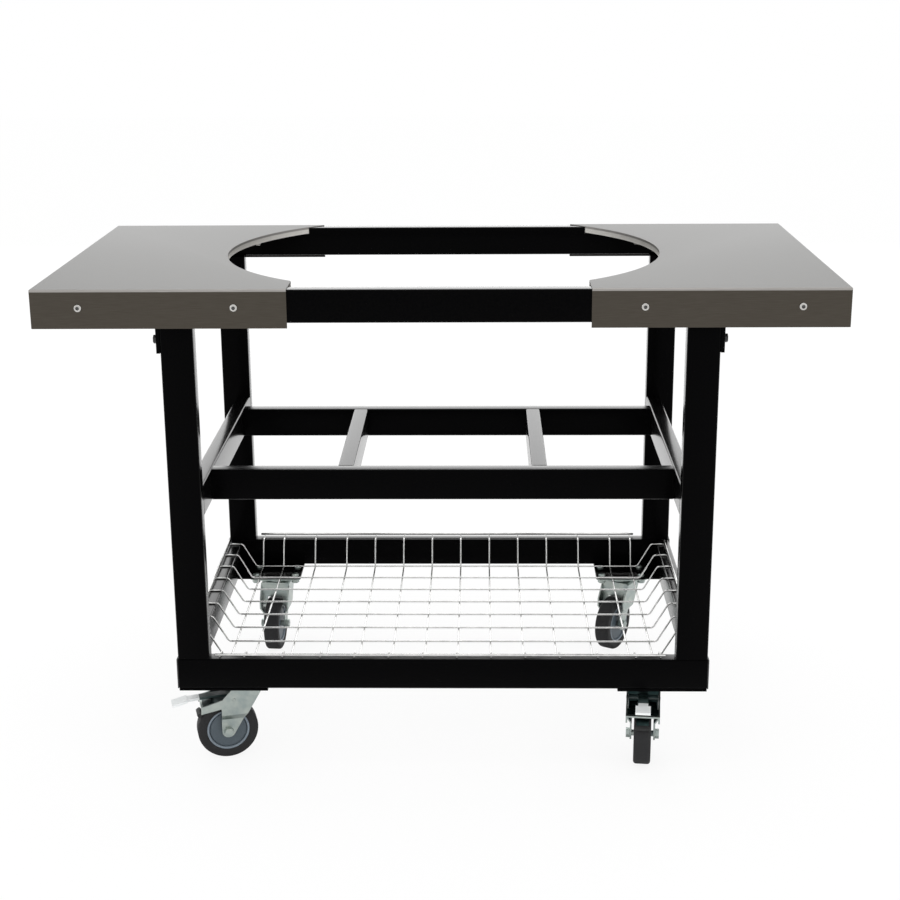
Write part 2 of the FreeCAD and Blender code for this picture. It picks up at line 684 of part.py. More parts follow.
def fork(name, hooded):
    """A pressed fork: its side outline and its bent section, each drawn once, meet in one shell."""
    eye_x, eye_z = "trail", "wheel_radius"
    back_x = f"({eye_x} - fork_eye_radius * cos(fork_lean))"
    back_z = f"({eye_z} - fork_eye_radius * sin(fork_lean))"
    front = f"({eye_x} + fork_eye_radius)"
    hood = [("hood_start", "hood_top + hood_rise"), ("hood_reach", "hood_top"),
            ("hood_reach", "hood_end"), (front, "hood_end + 6")]
    plain = [(front, "wheel_radius + 46")]
    outline = [
        ("-crown_back", CROWN_TOP),
        ("crown_front", CROWN_TOP),
        ("crown_front", f"{CROWN_BOTTOM} - fork_gauge"),
        *(hood if hooded else plain),
        (front, eye_z),
        (eye_x, eye_z),
        (back_x, back_z),
        ("-crown_back", f"{back_z} + ({back_x} + crown_back) / tan(fork_lean)"),
    ]
    cheeks = body(f"{name}_cheeks")
    side = sketch_on(cheeks, "XZ_Plane")
    path(side, outline)
    pad(cheeks, side, "fork_width + 4")
    eye = prism(f"{name}_eye", ROUND_SIDES, "fork_eye_radius", "fork_width + 4")
    place(eye, eye_x, "fork_width / 2 + 2", eye_z, "rotationx(90)")
    blank = fuse(f"{name}_blank", cheeks, eye)
    half = [("fork_leg_width / 2", "0"), ("fork_leg_width / 2", "fork_joggle_low"),
            ("fork_width / 2", "fork_joggle_high"),
            ("fork_width / 2", f"{CROWN_TOP} - fork_shoulder"),
            ("fork_width / 2 - fork_shoulder", CROWN_TOP)]
    inner = [(f"{y} - fork_gauge", z) for y, z in half[:3]]
    inner.append(("fork_width / 2 - fork_gauge", CROWN_BOTTOM))
    section_points = (
        half + [(f"-({y})", z) for y, z in half[::-1]]
        + [(f"-({y})", z) for y, z in inner] + inner[::-1]
    )
    bend = body(f"{name}_bend")
    section = sketch_on(bend, "YZ_Plane")
    path(section, section_points)
    pad(bend, section, "4 * hood_reach")
    drop = "hooded_web_drop" if hooded else "web_drop"
    web = box(f"{name}_web", "fork_gauge", "fork_width - fork_gauge", f"{drop} + fork_gauge / 2")
    place(web, "crown_front - fork_gauge", "-(fork_width - fork_gauge) / 2", f"{CROWN_BOTTOM} - {drop}")
    shell = fuse(f"{name}_shell", common(f"{name}_bent", blank, bend), web)
    if hooded:
        roof = body(f"{name}_roof")
        slope = sketch_on(roof, "XZ_Plane")
        start_top = "(hood_top + hood_rise * (hood_reach - hood_roof_start) / (hood_reach - hood_start))"
        path(slope, [("hood_roof_start", f"{start_top} - fork_gauge"),
                     ("hood_reach", "hood_top - fork_gauge"), ("hood_reach", "hood_top"),
                     ("hood_roof_start", start_top)])
        pad(roof, slope, "fork_width - fork_gauge")
        shell = fuse(f"{name}_hooded", shell, roof)
    bore = hole(f"{name}_bore", BORE_SIDES, "axle_radius + running_gap", "2 * fork_width")
    place(bore, eye_x, "fork_width", eye_z, "rotationx(90)")
    swivel = hole(f"{name}_swivel", BORE_SIDES, "kingpin_radius + running_gap", "4 * fork_gauge")
    place(swivel, "0", "0", f"{CROWN_BOTTOM} - fork_gauge")
    cutters = [bore, swivel]
    if hooded:
        pivot = hole(f"{name}_pivot", HEX, "pedal_pin_radius + running_gap", "2 * fork_width")
        cutters.append(place(pivot, "pedal_pin_x", "fork_width", "pedal_pin_z", "rotationx(90)"))
    return cut(f"{name}_fork", shell, *cutters)


def wheel(name):
    """A rubber tread with bevelled shoulders on a plastic hub with a raised rim and dished sides."""
    owner = body(f"{name}_tyre")
    solid = owner.newObject("PartDesign::AdditivePrism", f"{name}_tyre_solid")
    solid.Polygon = WHEEL_SIDES
    solid.setExpression("Circumradius", bound(f"wheel_radius / cos(180 / {WHEEL_SIDES})"))
    solid.setExpression("Height", bound("wheel_width"))
    doc.recompute()
    ease_edges(owner, solid, "tread_shoulder", lambda e: not runs_along(e, "z"))
    place(owner, "0", "0", "-wheel_width / 2", f"rotationz(180 / {WHEEL_SIDES})")
    inside = turned(f"{name}_tyre_inside", WHEEL_SIDES,
                    [("-wheel_width", "hub_radius"), ("wheel_width", "hub_radius")])
    tread = cut(f"{name}_tread", owner, inside)
    face, dish = "hub_width / 2", "hub_width / 2 - hub_dish"
    core = turned(f"{name}_hub_solid", WHEEL_SIDES, [(f"-{face}", "hub_radius"), (face, "hub_radius")])
    recess = "hub_radius - hub_rim"
    dishes = [
        turned(f"{name}_dish", WHEEL_SIDES,
               [(f"{sign} * ({dish})", recess), (f"{sign} * ({face} + hub_dish)", recess)])
        for sign in (-1, 1)
    ]
    bore = hole(f"{name}_hub_bore", BORE_SIDES, "axle_radius + running_gap", "2 * wheel_width")
    place(bore, "0", "0", "-wheel_width")
    return cut(f"{name}_hub", core, *dishes, bore), tread


def axle(name):
    """The wheel's bolt with its hexagon head, and the closed nut on its far end."""
    shank = cylinder(f"{name}_shank", "axle_radius", "fork_leg_width")
    head = prism(f"{name}_head", HEX, "axle_nut_radius", "axle_nut")
    place(head, "0", "0", "-axle_nut")
    bolt = fuse(f"{name}_bolt", shank, head)
    nut = prism(f"{name}_nut", HEX, "axle_nut_radius", "axle_nut")
    place(nut, "0", "0", "fork_leg_width")
    made = doc.addObject("Part::Compound", f"{name}_axle")
    made.Links = [bolt, nut]
    return made


def brake_pedal(name):
    """The pressed lever, drawn raised about its pin: barrel, arm and paddle."""
    owner = body(f"{name}_pedal")
    drop = "(pedal_rise - paddle_gauge)"
    arm = sketch_on(owner, "XZ_Plane")
    root = "(pedal_reach - paddle_long)"
    path(arm, [("-pedal_barrel_radius / 2", "-pedal_barrel_radius / 2"), ("pedal_reach / 3", f"{drop} / 2"),
               (f"{root} + 2", drop), (f"{root} + 2", "pedal_rise"),
               ("pedal_reach / 3", f"{drop} / 2 + paddle_gauge"),
               ("-pedal_barrel_radius / 2", "pedal_barrel_radius / 2")])
    pad(owner, arm, "pedal_arm_width")
    paddle = sketch_on(owner, "XZ_Plane")
    path(paddle, [(root, drop), ("pedal_reach", drop), ("pedal_reach", "pedal_rise"), (root, "pedal_rise")])
    pad(owner, paddle, "paddle_width")
    inside = "fork_width - 2 * fork_gauge - 2 * race_gap"
    barrel = prism(f"{name}_barrel", PIN_SIDES, "pedal_barrel_radius", inside)
    place(barrel, "0", f"({inside}) / 2", "0", "rotationx(90)")
    bore = hole(f"{name}_pin_bore", HEX, "pedal_pin_radius + running_gap", "2 * fork_width")
    place(bore, "0", "fork_width", "0", "rotationx(90)")
    return cut(f"{name}_lever", fuse(f"{name}_pressing", owner, barrel), bore)


def caster(end, side, along, across):
    """One swivel caster; front ones have a brake, pressed on the left and raised on the right."""
    name = f"{end}_{side}"
    braked = end == "front"
    spot = (f"{across} * {CASTER_OUT}", f"{along} * {CASTER_FORE}")
    corner_plate(name, across, along)
    stand(keep(caster_top_plate(name), f"caster_top_plate_{name}"), *spot, "0")
    swung = (f"placement(vector({spot[0]}; frame_back + {spot[1]}; 0); rotationz({name}_turn)) * ")
    place(keep(fork(name, braked), f"caster_fork_{name}"), "0", "0", "0", before=swung)
    across_axle = ("trail", "fork_leg_width / 2", "wheel_radius", "rotationx(90)")
    place(keep(axle(name), f"caster_axle_{name}"), *across_axle, before=swung)
    hub, tread = wheel(name)
    for piece, label in ((hub, "hub"), (tread, "tread")):
        place(keep(piece, f"wheel_{label}_{name}"), "trail", "0", "wheel_radius", "rotationx(90)",
              before=swung)
    if braked:
        pressed = "pedal_travel" if side == "left" else "0"
        pedal = keep(brake_pedal(name), f"brake_pedal_{name}")
        place(pedal, "pedal_pin_x", "0", "pedal_pin_z", f"rotationy({pressed})", before=swung)
        rod = cylinder(f"{name}_pin", "pedal_pin_radius", "fork_width + 1")
        keep(rod, f"brake_pedal_pin_{name}")
        place(rod, "pedal_pin_x", "fork_width / 2 + 0.5", "pedal_pin_z", "rotationx(90)", before=swung)


def caster_fasteners():
    """Domed bolts down through the corner plates, nuts under the casters, and the kingpins."""
    spots = [(f"{across} * {CASTER_OUT}", f"{along} * {CASTER_FORE}")
             for _, along in ENDS for _, across in SIDES]
    pattern = [(f"{x} + {i} * bolt_pitch_x / 2", f"{y} + {j} * bolt_pitch_y / 2")
               for x, y in spots for i in (-1, 1) for j in (-1, 1)]
    bolt = fastener("caster_bolt", "bolt_radius", "corner_plate_gauge + top_plate_gauge",
                    "bolt_head_radius", "bolt_head", HEX)
    copies("caster_bolts", bolt, [(x, y, BASE_BOTTOM, NO_TURN) for x, y in pattern])
    nut = prism("caster_nut", HEX, "bolt_nut_radius", "bolt_nut")
    copies("caster_bolt_nuts", nut,
           [(x, y, "caster_height - top_plate_gauge - bolt_nut", NO_TURN) for x, y in pattern])
    reach = "race_gap + fork_gauge + race_gap + kingpin_head"
    stem = cylinder("kingpin_stem", "kingpin_radius", reach)
    foot = prism("kingpin_foot", PIN_SIDES, "kingpin_head_radius", "kingpin_head")
    kingpin = fuse("kingpin", stem, foot)
    copies("caster_kingpins", kingpin, [(x, y, f"{BOSS_BOTTOM} - ({reach})", NO_TURN) for x, y in spots])


def write():
    """Checks every object and every sub-part, then writes one file for each sub-part."""
    doc.recompute()
    for made in doc.Objects:
        if "Invalid" in made.State or "Error" in made.State:
            raise RuntimeError(f"{made.Label} failed: {made.State}")
    for label, made in nodes.items():
        if made.Shape.isNull() or not made.Shape.isValid() or not made.Shape.Solids:
            raise RuntimeError(f"{label} has no valid shape")
    os.makedirs("parts", exist_ok=True)
    for label, made in nodes.items():
        made.Shape.exportStep(f"parts/{label}.step")
    print(f"wrote {len(nodes)} sub-parts")


top_frame()
legs()
leg_tabs()
shelf()
base_frame()
end_caps()
for side, sign in SIDES:
    side_table(side, sign)
table_fasteners()
basket()
for end, along in ENDS:
    for side, across in SIDES:
        caster(end, side, along, across)
caster_fasteners()
write()
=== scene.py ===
import json
import logging
import math
from dataclasses import dataclass
from enum import Enum

import bmesh
import bpy
import numpy as np
from mathutils import Matrix, Vector


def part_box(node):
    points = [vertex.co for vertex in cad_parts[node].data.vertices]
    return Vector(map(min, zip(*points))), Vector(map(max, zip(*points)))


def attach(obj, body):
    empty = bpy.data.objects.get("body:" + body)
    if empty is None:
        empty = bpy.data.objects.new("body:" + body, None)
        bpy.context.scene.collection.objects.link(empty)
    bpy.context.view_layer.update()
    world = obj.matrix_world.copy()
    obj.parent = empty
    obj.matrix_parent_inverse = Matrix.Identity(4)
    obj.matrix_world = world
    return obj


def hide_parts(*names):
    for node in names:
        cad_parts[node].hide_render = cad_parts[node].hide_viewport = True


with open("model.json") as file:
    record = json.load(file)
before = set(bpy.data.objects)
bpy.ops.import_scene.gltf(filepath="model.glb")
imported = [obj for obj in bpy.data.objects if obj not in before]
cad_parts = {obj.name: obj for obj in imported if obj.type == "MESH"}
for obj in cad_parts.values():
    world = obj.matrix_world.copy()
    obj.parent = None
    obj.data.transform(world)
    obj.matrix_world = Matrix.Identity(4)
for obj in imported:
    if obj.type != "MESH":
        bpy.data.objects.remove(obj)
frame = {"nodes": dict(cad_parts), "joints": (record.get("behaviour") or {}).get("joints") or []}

# The looks of a kamado grill table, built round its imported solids. Metres, in the row's frame:
# X to the right, Y to the rear, Z up, the floor at Z = 0.

logging.basicConfig(level=logging.INFO, format="%(message)s")
log = logging.getLogger("grill_table")

Pair = tuple[float, float]
Triple = tuple[float, float, float]
Piece = bpy.types.Object
Material = bpy.types.Material
Socket = bpy.types.NodeSocket

# The body that stands still
ROOT = "frame"
UP = np.array([0.0, 0.0, 1.0])
LEVEL = np.array([1.0, 1.0, 0.0])
# Points of a solid that are nearer than this are one: in metres, and in decimal places
SOLID_MERGE = 1e-6
SOLID_PLACES = 5
# In degrees: faces of a solid that turn less than FLAT_ANGLE are one, and edges that turn more than
# SHARP_ANGLE are rounded
FLAT_ANGLE = 0.5
SHARP_ANGLE = 30.0


class Side(Enum):
    """A side table, by the end of the frame that it covers."""

    LEFT = "left"
    RIGHT = "right"


class Corner(Enum):
    """A corner of the base, with a caster under it."""

    FRONT_LEFT = "front_left"
    FRONT_RIGHT = "front_right"
    REAR_LEFT = "rear_left"
    REAR_RIGHT = "rear_right"

    @property
    def braked(self) -> bool:
        """Whether its caster has a hood and a brake."""
        return self.value.startswith("front")


class Streak(Enum):
    """The way in which a pattern is drawn out over a surface, as scales along X, Y and Z."""

    ALONG_X = (8.0, 700.0, 700.0)
    NONE = (60.0, 60.0, 60.0)


# Shapes worked out as whole arrays


def unit(vector: np.ndarray) -> np.ndarray:
    """The vector, or each row of vectors, over its own length."""
    return vector / np.linalg.norm(vector, axis=-1, keepdims=True)


def lattice(rows: int, columns: int, wrap_rows: bool) -> np.ndarray:
    """Quads that join a grid of points: each corner with its next in its row, where the end joins the
    start, and in its column.

    Args:
        rows: number of rows of points.
        columns: number of points in a row.
        wrap_rows: whether the last row joins the first.

    Returns:
        An array of four point numbers for each quad.
    """
    i = np.arange(rows if wrap_rows else rows - 1)[:, None]
    j = np.arange(columns)[None, :]
    down, along = (i + 1) % rows, (j + 1) % columns
    corners = [i * columns + j, i * columns + along, down * columns + along, down * columns + j]
    return np.stack(np.broadcast_arrays(*corners), axis=-1).reshape(-1, 4)


def rounded_rectangle(width: float, height: float, radius: float, steps: int = 5) -> np.ndarray:
    """A closed outline: four quarter circles about the corners' centres, joined by straight sides.

    Args:
        width: size along the first axis.
        height: size along the second axis.
        radius: radius of the corners.
        steps: points on each corner.

    Returns:
        Points (n, 2), anticlockwise.
    """
    turn = np.linspace(0.0, math.pi / 2, steps)[None, :] + (np.arange(4) * math.pi / 2)[:, None]
    signs = np.array([[1, 1], [-1, 1], [-1, -1], [1, -1]])[:, None, :]
    centre = signs * np.array([width / 2 - radius, height / 2 - radius])
    return (centre + radius * np.stack([np.cos(turn), np.sin(turn)], axis=-1)).reshape(-1, 2)


def bent(corners: np.ndarray, radius: float, steps: int = 6) -> np.ndarray:
    """A path whose inner corners are rounded: each is a quadratic curve between points that lie the
    bend's radius before and after the corner, (1-t)^2 a + 2t(1-t) b + t^2 c.

    Args:
        corners: points (n, 3) of the sharp path.
        radius: how far from the corner the bend starts and ends.
        steps: points on each bend.

    Returns:
        Points of the rounded path.
    """
    corner = corners[1:-1]
    before = unit(corners[:-2] - corner) * radius + corner
    after = unit(corners[2:] - corner) * radius + corner
    t = np.linspace(0.0, 1.0, steps)[None, :, None]
    curve = (1 - t) ** 2 * before[:, None] + 2 * t * (1 - t) * corner[:, None] + t**2 * after[:, None]
    return np.vstack([corners[:1], curve.reshape(-1, 3), corners[-1:]])


def carried(path: np.ndarray, outline: np.ndarray, side: np.ndarray) -> np.ndarray:
    """A profile carried along a path in a plane: point = path + x * (tangent x side) + y * side.

    Args:
        path: points (n, 3) in a plane.
        outline: closed profile (m, 2).
        side: the plane's unit normal.

    Returns:
        Grid (n, m, 3).
    """
    tangent = unit(np.gradient(path, axis=0))
    up = np.cross(tangent, side)
    return path[:, None] + outline[None, :, :1] * up[:, None] + outline[None, :, 1:] * side


def mirrored(half: np.ndarray, shared: int = 0) -> np.ndarray:
    """Half an outline and then its mirror image, (-x, y), from its last point back to its first.

    Args:
        half: points (n, 2), with x measured from the mirror.
        shared: how many of its last points lie on the mirror and aren't repeated.

    Returns:
        Points of the whole outline.
    """
    return np.vstack([half, half[::-1][shared:] * np.array([-1.0, 1.0])])


def ring(radius: float, count: int) -> np.ndarray:
    """A circle as a closed profile (count, 2): radius times cosine and sine of equal angles."""
    turn = np.arange(count) * 2 * math.pi / count
    return radius * np.stack([np.cos(turn), np.sin(turn)], axis=-1)


def arc(centre: Pair, radius: float, start: float, end: float, steps: int) -> np.ndarray:
    """Points on an arc of a turned profile: centre + radius (cos, sin) from start to end in degrees.

    Args:
        centre: the arc's centre, as a distance along the axis and a radius.
        radius: the arc's radius.
        start: first angle in degrees.
        end: last angle in degrees.
        steps: number of points.

    Returns:
        Points (steps, 2).
    """
    turn = np.radians(np.linspace(start, end, steps))
    return np.array(centre) + radius * np.stack([np.cos(turn), np.sin(turn)], axis=-1)


@dataclass(frozen=True)
class Axis:
    """A place and a direction that turned parts are built about."""

    origin: np.ndarray
    along: np.ndarray

    def cross_axes(self) -> tuple[np.ndarray, np.ndarray]:
        """Two unit vectors at right angles to the axis and to each other, found by crossing the axis
        with the upright, or with X where the axis itself is nearly upright.

        Returns:
            The first and the second vector.
        """
        helper = UP if abs(self.along[2]) < 0.9 else np.array([1.0, 0.0, 0.0])
        first = unit(np.cross(helper, self.along))
        return first, np.cross(self.along, first)

    def turned(self, profile: np.ndarray, count: int) -> np.ndarray:
        """A profile turned about the axis: origin + a * along + r * (cos * first + sin * second).

        Args:
            profile: points (n, 2), each a distance along the axis and a radius.
            count: number of steps round the axis.

        Returns:
            Grid (n, count, 3).
        """
        first, second = self.cross_axes()
        turn = np.arange(count) * 2 * math.pi / count
        spoke = np.cos(turn)[:, None] * first + np.sin(turn)[:, None] * second
        axial = self.origin + profile[:, :1] * self.along
        return axial[:, None] + profile[:, 1][:, None, None] * spoke[None]


class Shell:
    """Gathers grids and caps into one mesh object, in which points nearer than merge are one."""

    merge: float = 1e-7

    def __init__(self, name: str) -> None:
        """Starts an empty shell.

        Args:
            name: the object's name.
        """
        self.name = name
        self.points: list[np.ndarray] = []
        self.faces: list[list[int]] = []
        self.count = 0

    def add(self, grid: np.ndarray, wrap_rows: bool = False) -> "Shell":
        """Adds a grid whose rows are closed loops, with a face over the first and the last row unless
        they join.

        Args:
            grid: points (rows, columns, 3).
            wrap_rows: whether the last row joins the first.

        Returns:
            The shell itself.
        """
        rows, columns = grid.shape[:2]
        quads = lattice(rows, columns, wrap_rows) + self.count
        self.faces += quads.tolist()
        if not wrap_rows:
            self.faces.append((np.arange(columns)[::-1] + self.count).tolist())
            self.faces.append((np.arange(columns) + (rows - 1) * columns + self.count).tolist())
        self.points.append(grid.reshape(-1, 3))
        self.count += rows * columns
        return self

    def build(self, smooth: float = 35.0) -> Piece:
        """Makes the mesh object, with faces outwards.

        Args:
            smooth: edges sharper than this many degrees stay sharp.

        Returns:
            The new object, at the origin.
        """
        mesh = bpy.data.meshes.new(self.name)
        mesh.from_pydata(np.vstack(self.points).tolist(), [], self.faces)
        work = bmesh.new()
        work.from_mesh(mesh)
        bmesh.ops.remove_doubles(work, verts=work.verts, dist=self.merge)
        bmesh.ops.recalc_face_normals(work, faces=work.faces)
        work.to_mesh(mesh)
        work.free()
        return shown(self.name, mesh, smooth)


def shown(name: str, mesh: bpy.types.Mesh, smooth: float) -> Piece:
    """Links a mesh into the scene as a smooth object whose sharp edges stay sharp.

    Args:
        name: the object's name.
        mesh: its mesh.
        smooth: the angle in degrees past which an edge is sharp.

    Returns:
        The new object.
    """
    mesh.shade_smooth()
    mesh.set_sharp_from_angle(angle=math.radians(smooth))
    made = bpy.data.objects.new(name, mesh)
    bpy.context.scene.collection.objects.link(made)
    return made


def softened(node: str, width: float, segments: int) -> Piece:
    """A copy of a solid with its loose triangles merged and its edges rounded.

    Args:
        node: the solid's name.
        width: how wide the rounding is.
        segments: number of steps across it.

    Returns:
        The new object.
    """
    mesh = frame["nodes"][node].data.copy()
    mesh.materials.clear()
    work = bmesh.new()
    work.from_mesh(mesh)
    bmesh.ops.remove_doubles(work, verts=work.verts, dist=SOLID_MERGE)
    flat = math.radians(FLAT_ANGLE)
    bmesh.ops.dissolve_limit(work, angle_limit=flat, verts=work.verts, edges=work.edges)
    work.to_mesh(mesh)
    work.free()
    made = shown(f"{node}_finished", mesh, SHARP_ANGLE)
    edge = made.modifiers.new("rounded_edges", "BEVEL")
    edge.width = width
    edge.segments = segments
    edge.limit_method = "ANGLE"
    edge.angle_limit = math.radians(SHARP_ANGLE)
    edge.harden_normals = True
    return made


def loose_boxes(node: str) -> list[tuple[np.ndarray, np.ndarray]]:
    """The lowest and highest corner of each separate solid in a node. Points that coincide are one,
    and each takes the lowest number among the points it is joined to until nothing changes.

    Args:
        node: the node's name.

    Returns:
        A pair of corners for each solid, sorted by its place.
    """
    mesh = frame["nodes"][node].data
    places = np.zeros(len(mesh.vertices) * 3)
    mesh.vertices.foreach_get("co", places)
    edges = np.zeros(len(mesh.edges) * 2, dtype=np.int64)
    mesh.edges.foreach_get("vertices", edges)
    places = places.reshape(-1, 3)
    same, back = np.unique(np.round(places, SOLID_PLACES), axis=0, return_inverse=True)
    edges = back.reshape(-1)[edges.reshape(-1, 2)]
    label = np.arange(len(same))
    while True:
        low = label.copy()
        np.minimum.at(low, edges[:, 0], label[edges[:, 1]])
        np.minimum.at(low, edges[:, 1], label[edges[:, 0]])
        low = low[low]
        if np.array_equal(low, label):
            break
        label = low
    return [(same[label == k].min(axis=0), same[label == k].max(axis=0)) for k in np.unique(label)]


# Finishes


@dataclass(frozen=True)
class Tint:
    """The darker and the lighter colour that a pattern moves between."""

    dark: Triple
    light: Triple


@dataclass(frozen=True)
class Recess:
    """A box in an object's space, turned about the upright, whose inside takes painted shade."""

    centre: Triple
    turn: float
    half: Triple


ZINC = Tint((0.32, 0.37, 0.36), (0.43, 0.47, 0.44))
ZINC_ROUGHNESS = (0.24, 0.36)
PALE_COAT = Tint((0.85, 0.88, 0.88), (0.92, 0.94, 0.94))
PALE_COAT_ROUGHNESS = (0.3, 0.4)
# Painted shade: the colour of zinc in shade, inside the front forks' hoods, on their wall and brake leaf
# and on the pedals' arms.
UNLIT_ZINC = Tint((0.02, 0.04, 0.04), (0.045, 0.07, 0.068))


def grey(tone: float) -> tuple[float, float, float, float]:
    """An opaque neutral colour of one tone."""
    return tone, tone, tone, 1.0


class Recipe:
    """A material under construction, with the few node moves that the finishes share."""

    ramp_ends: Pair = (0.35, 0.65)

    def __init__(self, name: str) -> None:
        """Starts a material with its shader.

        Args:
            name: the material's name.
        """
        self.material = bpy.data.materials.new(name)
        self.material.use_nodes = True
        self.tree = self.material.node_tree
        self.shader = self.tree.nodes["Principled BSDF"]

    def node(self, kind: str) -> bpy.types.Node:
        """A new shader node, by the name of its kind without the prefix."""
        return self.tree.nodes.new(f"ShaderNode{kind}")

    def link(self, source: Socket, target: Socket) -> None:
        """Joins two sockets."""
        self.tree.links.new(source, target)

    def place(self) -> Socket:
        """The object's own coordinates."""
        return self.node("TexCoord").outputs["Object"]

    def settings(self, **values: float | tuple[float, ...]) -> None:
        """Sets plain values on the shader; words with underscores name its sockets."""
        for key, value in values.items():
            self.shader.inputs[key.replace("_", " ")].default_value = value

    def colour(self, source: Socket) -> None:
        """Colours the surface."""
        self.link(source, self.shader.inputs["Base Color"])

    def noise(self, streak: Streak, size: float, detail: float = 3.0) -> Socket:
        """Noise on the object's own coordinates.

        Args:
            streak: how it is drawn out along X, Y and Z.
            size: the noise's scale.
            detail: how many octaves.

        Returns:
            The noise's value.
        """
        mapping, pattern = self.node("Mapping"), self.node("TexNoise")
        mapping.inputs["Scale"].default_value = streak.value
        pattern.inputs["Scale"].default_value = size
        pattern.inputs["Detail"].default_value = detail
        self.link(self.place(), mapping.inputs["Vector"])
        self.link(mapping.outputs["Vector"], pattern.inputs["Vector"])
        return pattern.outputs["Fac"]

    def ramp(self, factor: Socket, tint: Tint) -> Socket:
        """A colour between a tint's two by a pattern.

        Args:
            factor: the pattern.
            tint: the colours at its low and its high end.

        Returns:
            The colour's socket.
        """
        ramp = self.node("ValToRGB")
        first, last = ramp.color_ramp.elements
        first.position, last.position = self.ramp_ends
        first.color, last.color = (*tint.dark, 1.0), (*tint.light, 1.0)
        self.link(factor, ramp.inputs["Fac"])
        return ramp.outputs["Color"]

    def above(self, low: float, high: float) -> Socket:
        """A factor that goes from 0 at one height of the object to 1 at another.

        Args:
            low: the lower height.
            high: the upper height.

        Returns:
            The factor's socket.
        """
        axes, span = self.node("SeparateXYZ"), self.node("MapRange")
        span.inputs["From Min"].default_value = low
        span.inputs["From Max"].default_value = high
        self.link(self.place(), axes.inputs["Vector"])
        self.link(axes.outputs["Z"], span.inputs["Value"])
        return span.outputs["Result"]

    def within(self, centre: Pair, radius: float) -> Socket:
        """A factor of 1 inside an upright cylinder of the object's space and 0 outside it.

        Args:
            centre: the cylinder's place in X and Y.
            radius: its radius.

        Returns:
            The factor's socket.
        """
        flat, away, inside = self.node("Mapping"), self.node("VectorMath"), self.node("Math")
        flat.inputs["Location"].default_value = (-centre[0], -centre[1], 0.0)
        flat.inputs["Scale"].default_value = (1.0, 1.0, 0.0)
        away.operation = "LENGTH"
        inside.operation = "LESS_THAN"
        inside.inputs[1].default_value = radius
        self.link(self.place(), flat.inputs["Vector"])
        self.link(flat.outputs["Vector"], away.inputs[0])
        self.link(away.outputs["Value"], inside.inputs[0])
        return inside.outputs["Value"]

    def boxed(self, recess: Recess) -> Socket:
        """A factor of 1 inside a recess and 0 outside it: the greatest of the three distances from its
        middle, each over the box's half size, is below 1.

        Args:
            recess: the turned box.

        Returns:
            The factor's socket.
        """
        own, size, axes = self.node("Mapping"), self.node("VectorMath"), self.node("SeparateXYZ")
        wider, widest, inside = (self.node("Math") for _ in range(3))
        own.vector_type = "TEXTURE"
        own.inputs["Location"].default_value = recess.centre
        own.inputs["Rotation"].default_value = (0.0, 0.0, recess.turn)
        own.inputs["Scale"].default_value = recess.half
        size.operation = "ABSOLUTE"
        wider.operation = widest.operation = "MAXIMUM"
        inside.operation = "LESS_THAN"
        inside.inputs[1].default_value = 1.0
        self.link(self.place(), own.inputs["Vector"])
        self.link(own.outputs["Vector"], size.inputs[0])
        self.link(size.outputs["Vector"], axes.inputs["Vector"])
        self.link(axes.outputs["X"], wider.inputs[0])
        self.link(axes.outputs["Y"], wider.inputs[1])
        self.link(wider.outputs["Value"], widest.inputs[0])
        self.link(axes.outputs["Z"], widest.inputs[1])
        self.link(widest.outputs["Value"], inside.inputs[0])
        return inside.outputs["Value"]

    def mixed(self, factor: Socket, first: Socket, second: Socket) -> Socket:
        """Mixes two colours by a factor.

        Args:
            factor: 0 for the first colour and 1 for the second.
            first: the first colour.
            second: the second colour.

        Returns:
            The mixed colour's socket.
        """
        mix = self.node("Mix")
        mix.data_type = "RGBA"
        # Sockets 6 and 7 and output 2 are the ones for colours; the node has others of the same names.
        self.link(factor, mix.inputs["Factor"])
        self.link(first, mix.inputs[6])
        self.link(second, mix.inputs[7])
        return mix.outputs[2]

    def vary_roughness(self, factor: Socket, low: float, high: float) -> None:
        """Lets a pattern move the roughness.

        Args:
            factor: the pattern.
            low: the roughness at its low end.
            high: the roughness at its high end.
        """
        span = self.node("MapRange")
        span.inputs["To Min"].default_value = low
        span.inputs["To Max"].default_value = high
        self.link(factor, span.inputs["Value"])
        self.link(span.outputs["Result"], self.shader.inputs["Roughness"])

    def raise_surface(self, factor: Socket, strength: float, distance: float) -> None:
        """Lets a pattern tilt the surface as if it stood up.

        Args:
            factor: the pattern.
            strength: how much of the tilt is taken.
            distance: how far the pattern's high end stands up.
        """
        bump = self.node("Bump")
        bump.inputs["Strength"].default_value = strength
        bump.inputs["Distance"].default_value = distance
        self.link(factor, bump.inputs["Height"])
        self.link(bump.outputs["Normal"], self.shader.inputs["Normal"])


@dataclass(frozen=True)
class PowderCoat:
    """Black powder coat: a faint orange peel under a semi-gloss skin that mirrors little face on."""

    tint: Tint = Tint((0.001, 0.001, 0.0012), (0.002, 0.0019, 0.002))
    facing_gloss: float = 0.03
    roughness: Pair = (0.16, 0.24)
    peel_size: float = 9.0
    peel_detail: float = 2.0
    peel_strength: float = 0.25
    peel_height: float = 0.00003

    def make(self, name: str) -> Material:
        """Builds the material.

        Args:
            name: the material's name.

        Returns:
            The material.
        """
        recipe = Recipe(name)
        recipe.settings(Specular_Tint=grey(self.facing_gloss))
        peel = recipe.noise(Streak.NONE, self.peel_size, self.peel_detail)
        recipe.colour(recipe.ramp(peel, self.tint))
        recipe.vary_roughness(peel, *self.roughness)
        recipe.raise_surface(peel, self.peel_strength, self.peel_height)
        return recipe.material


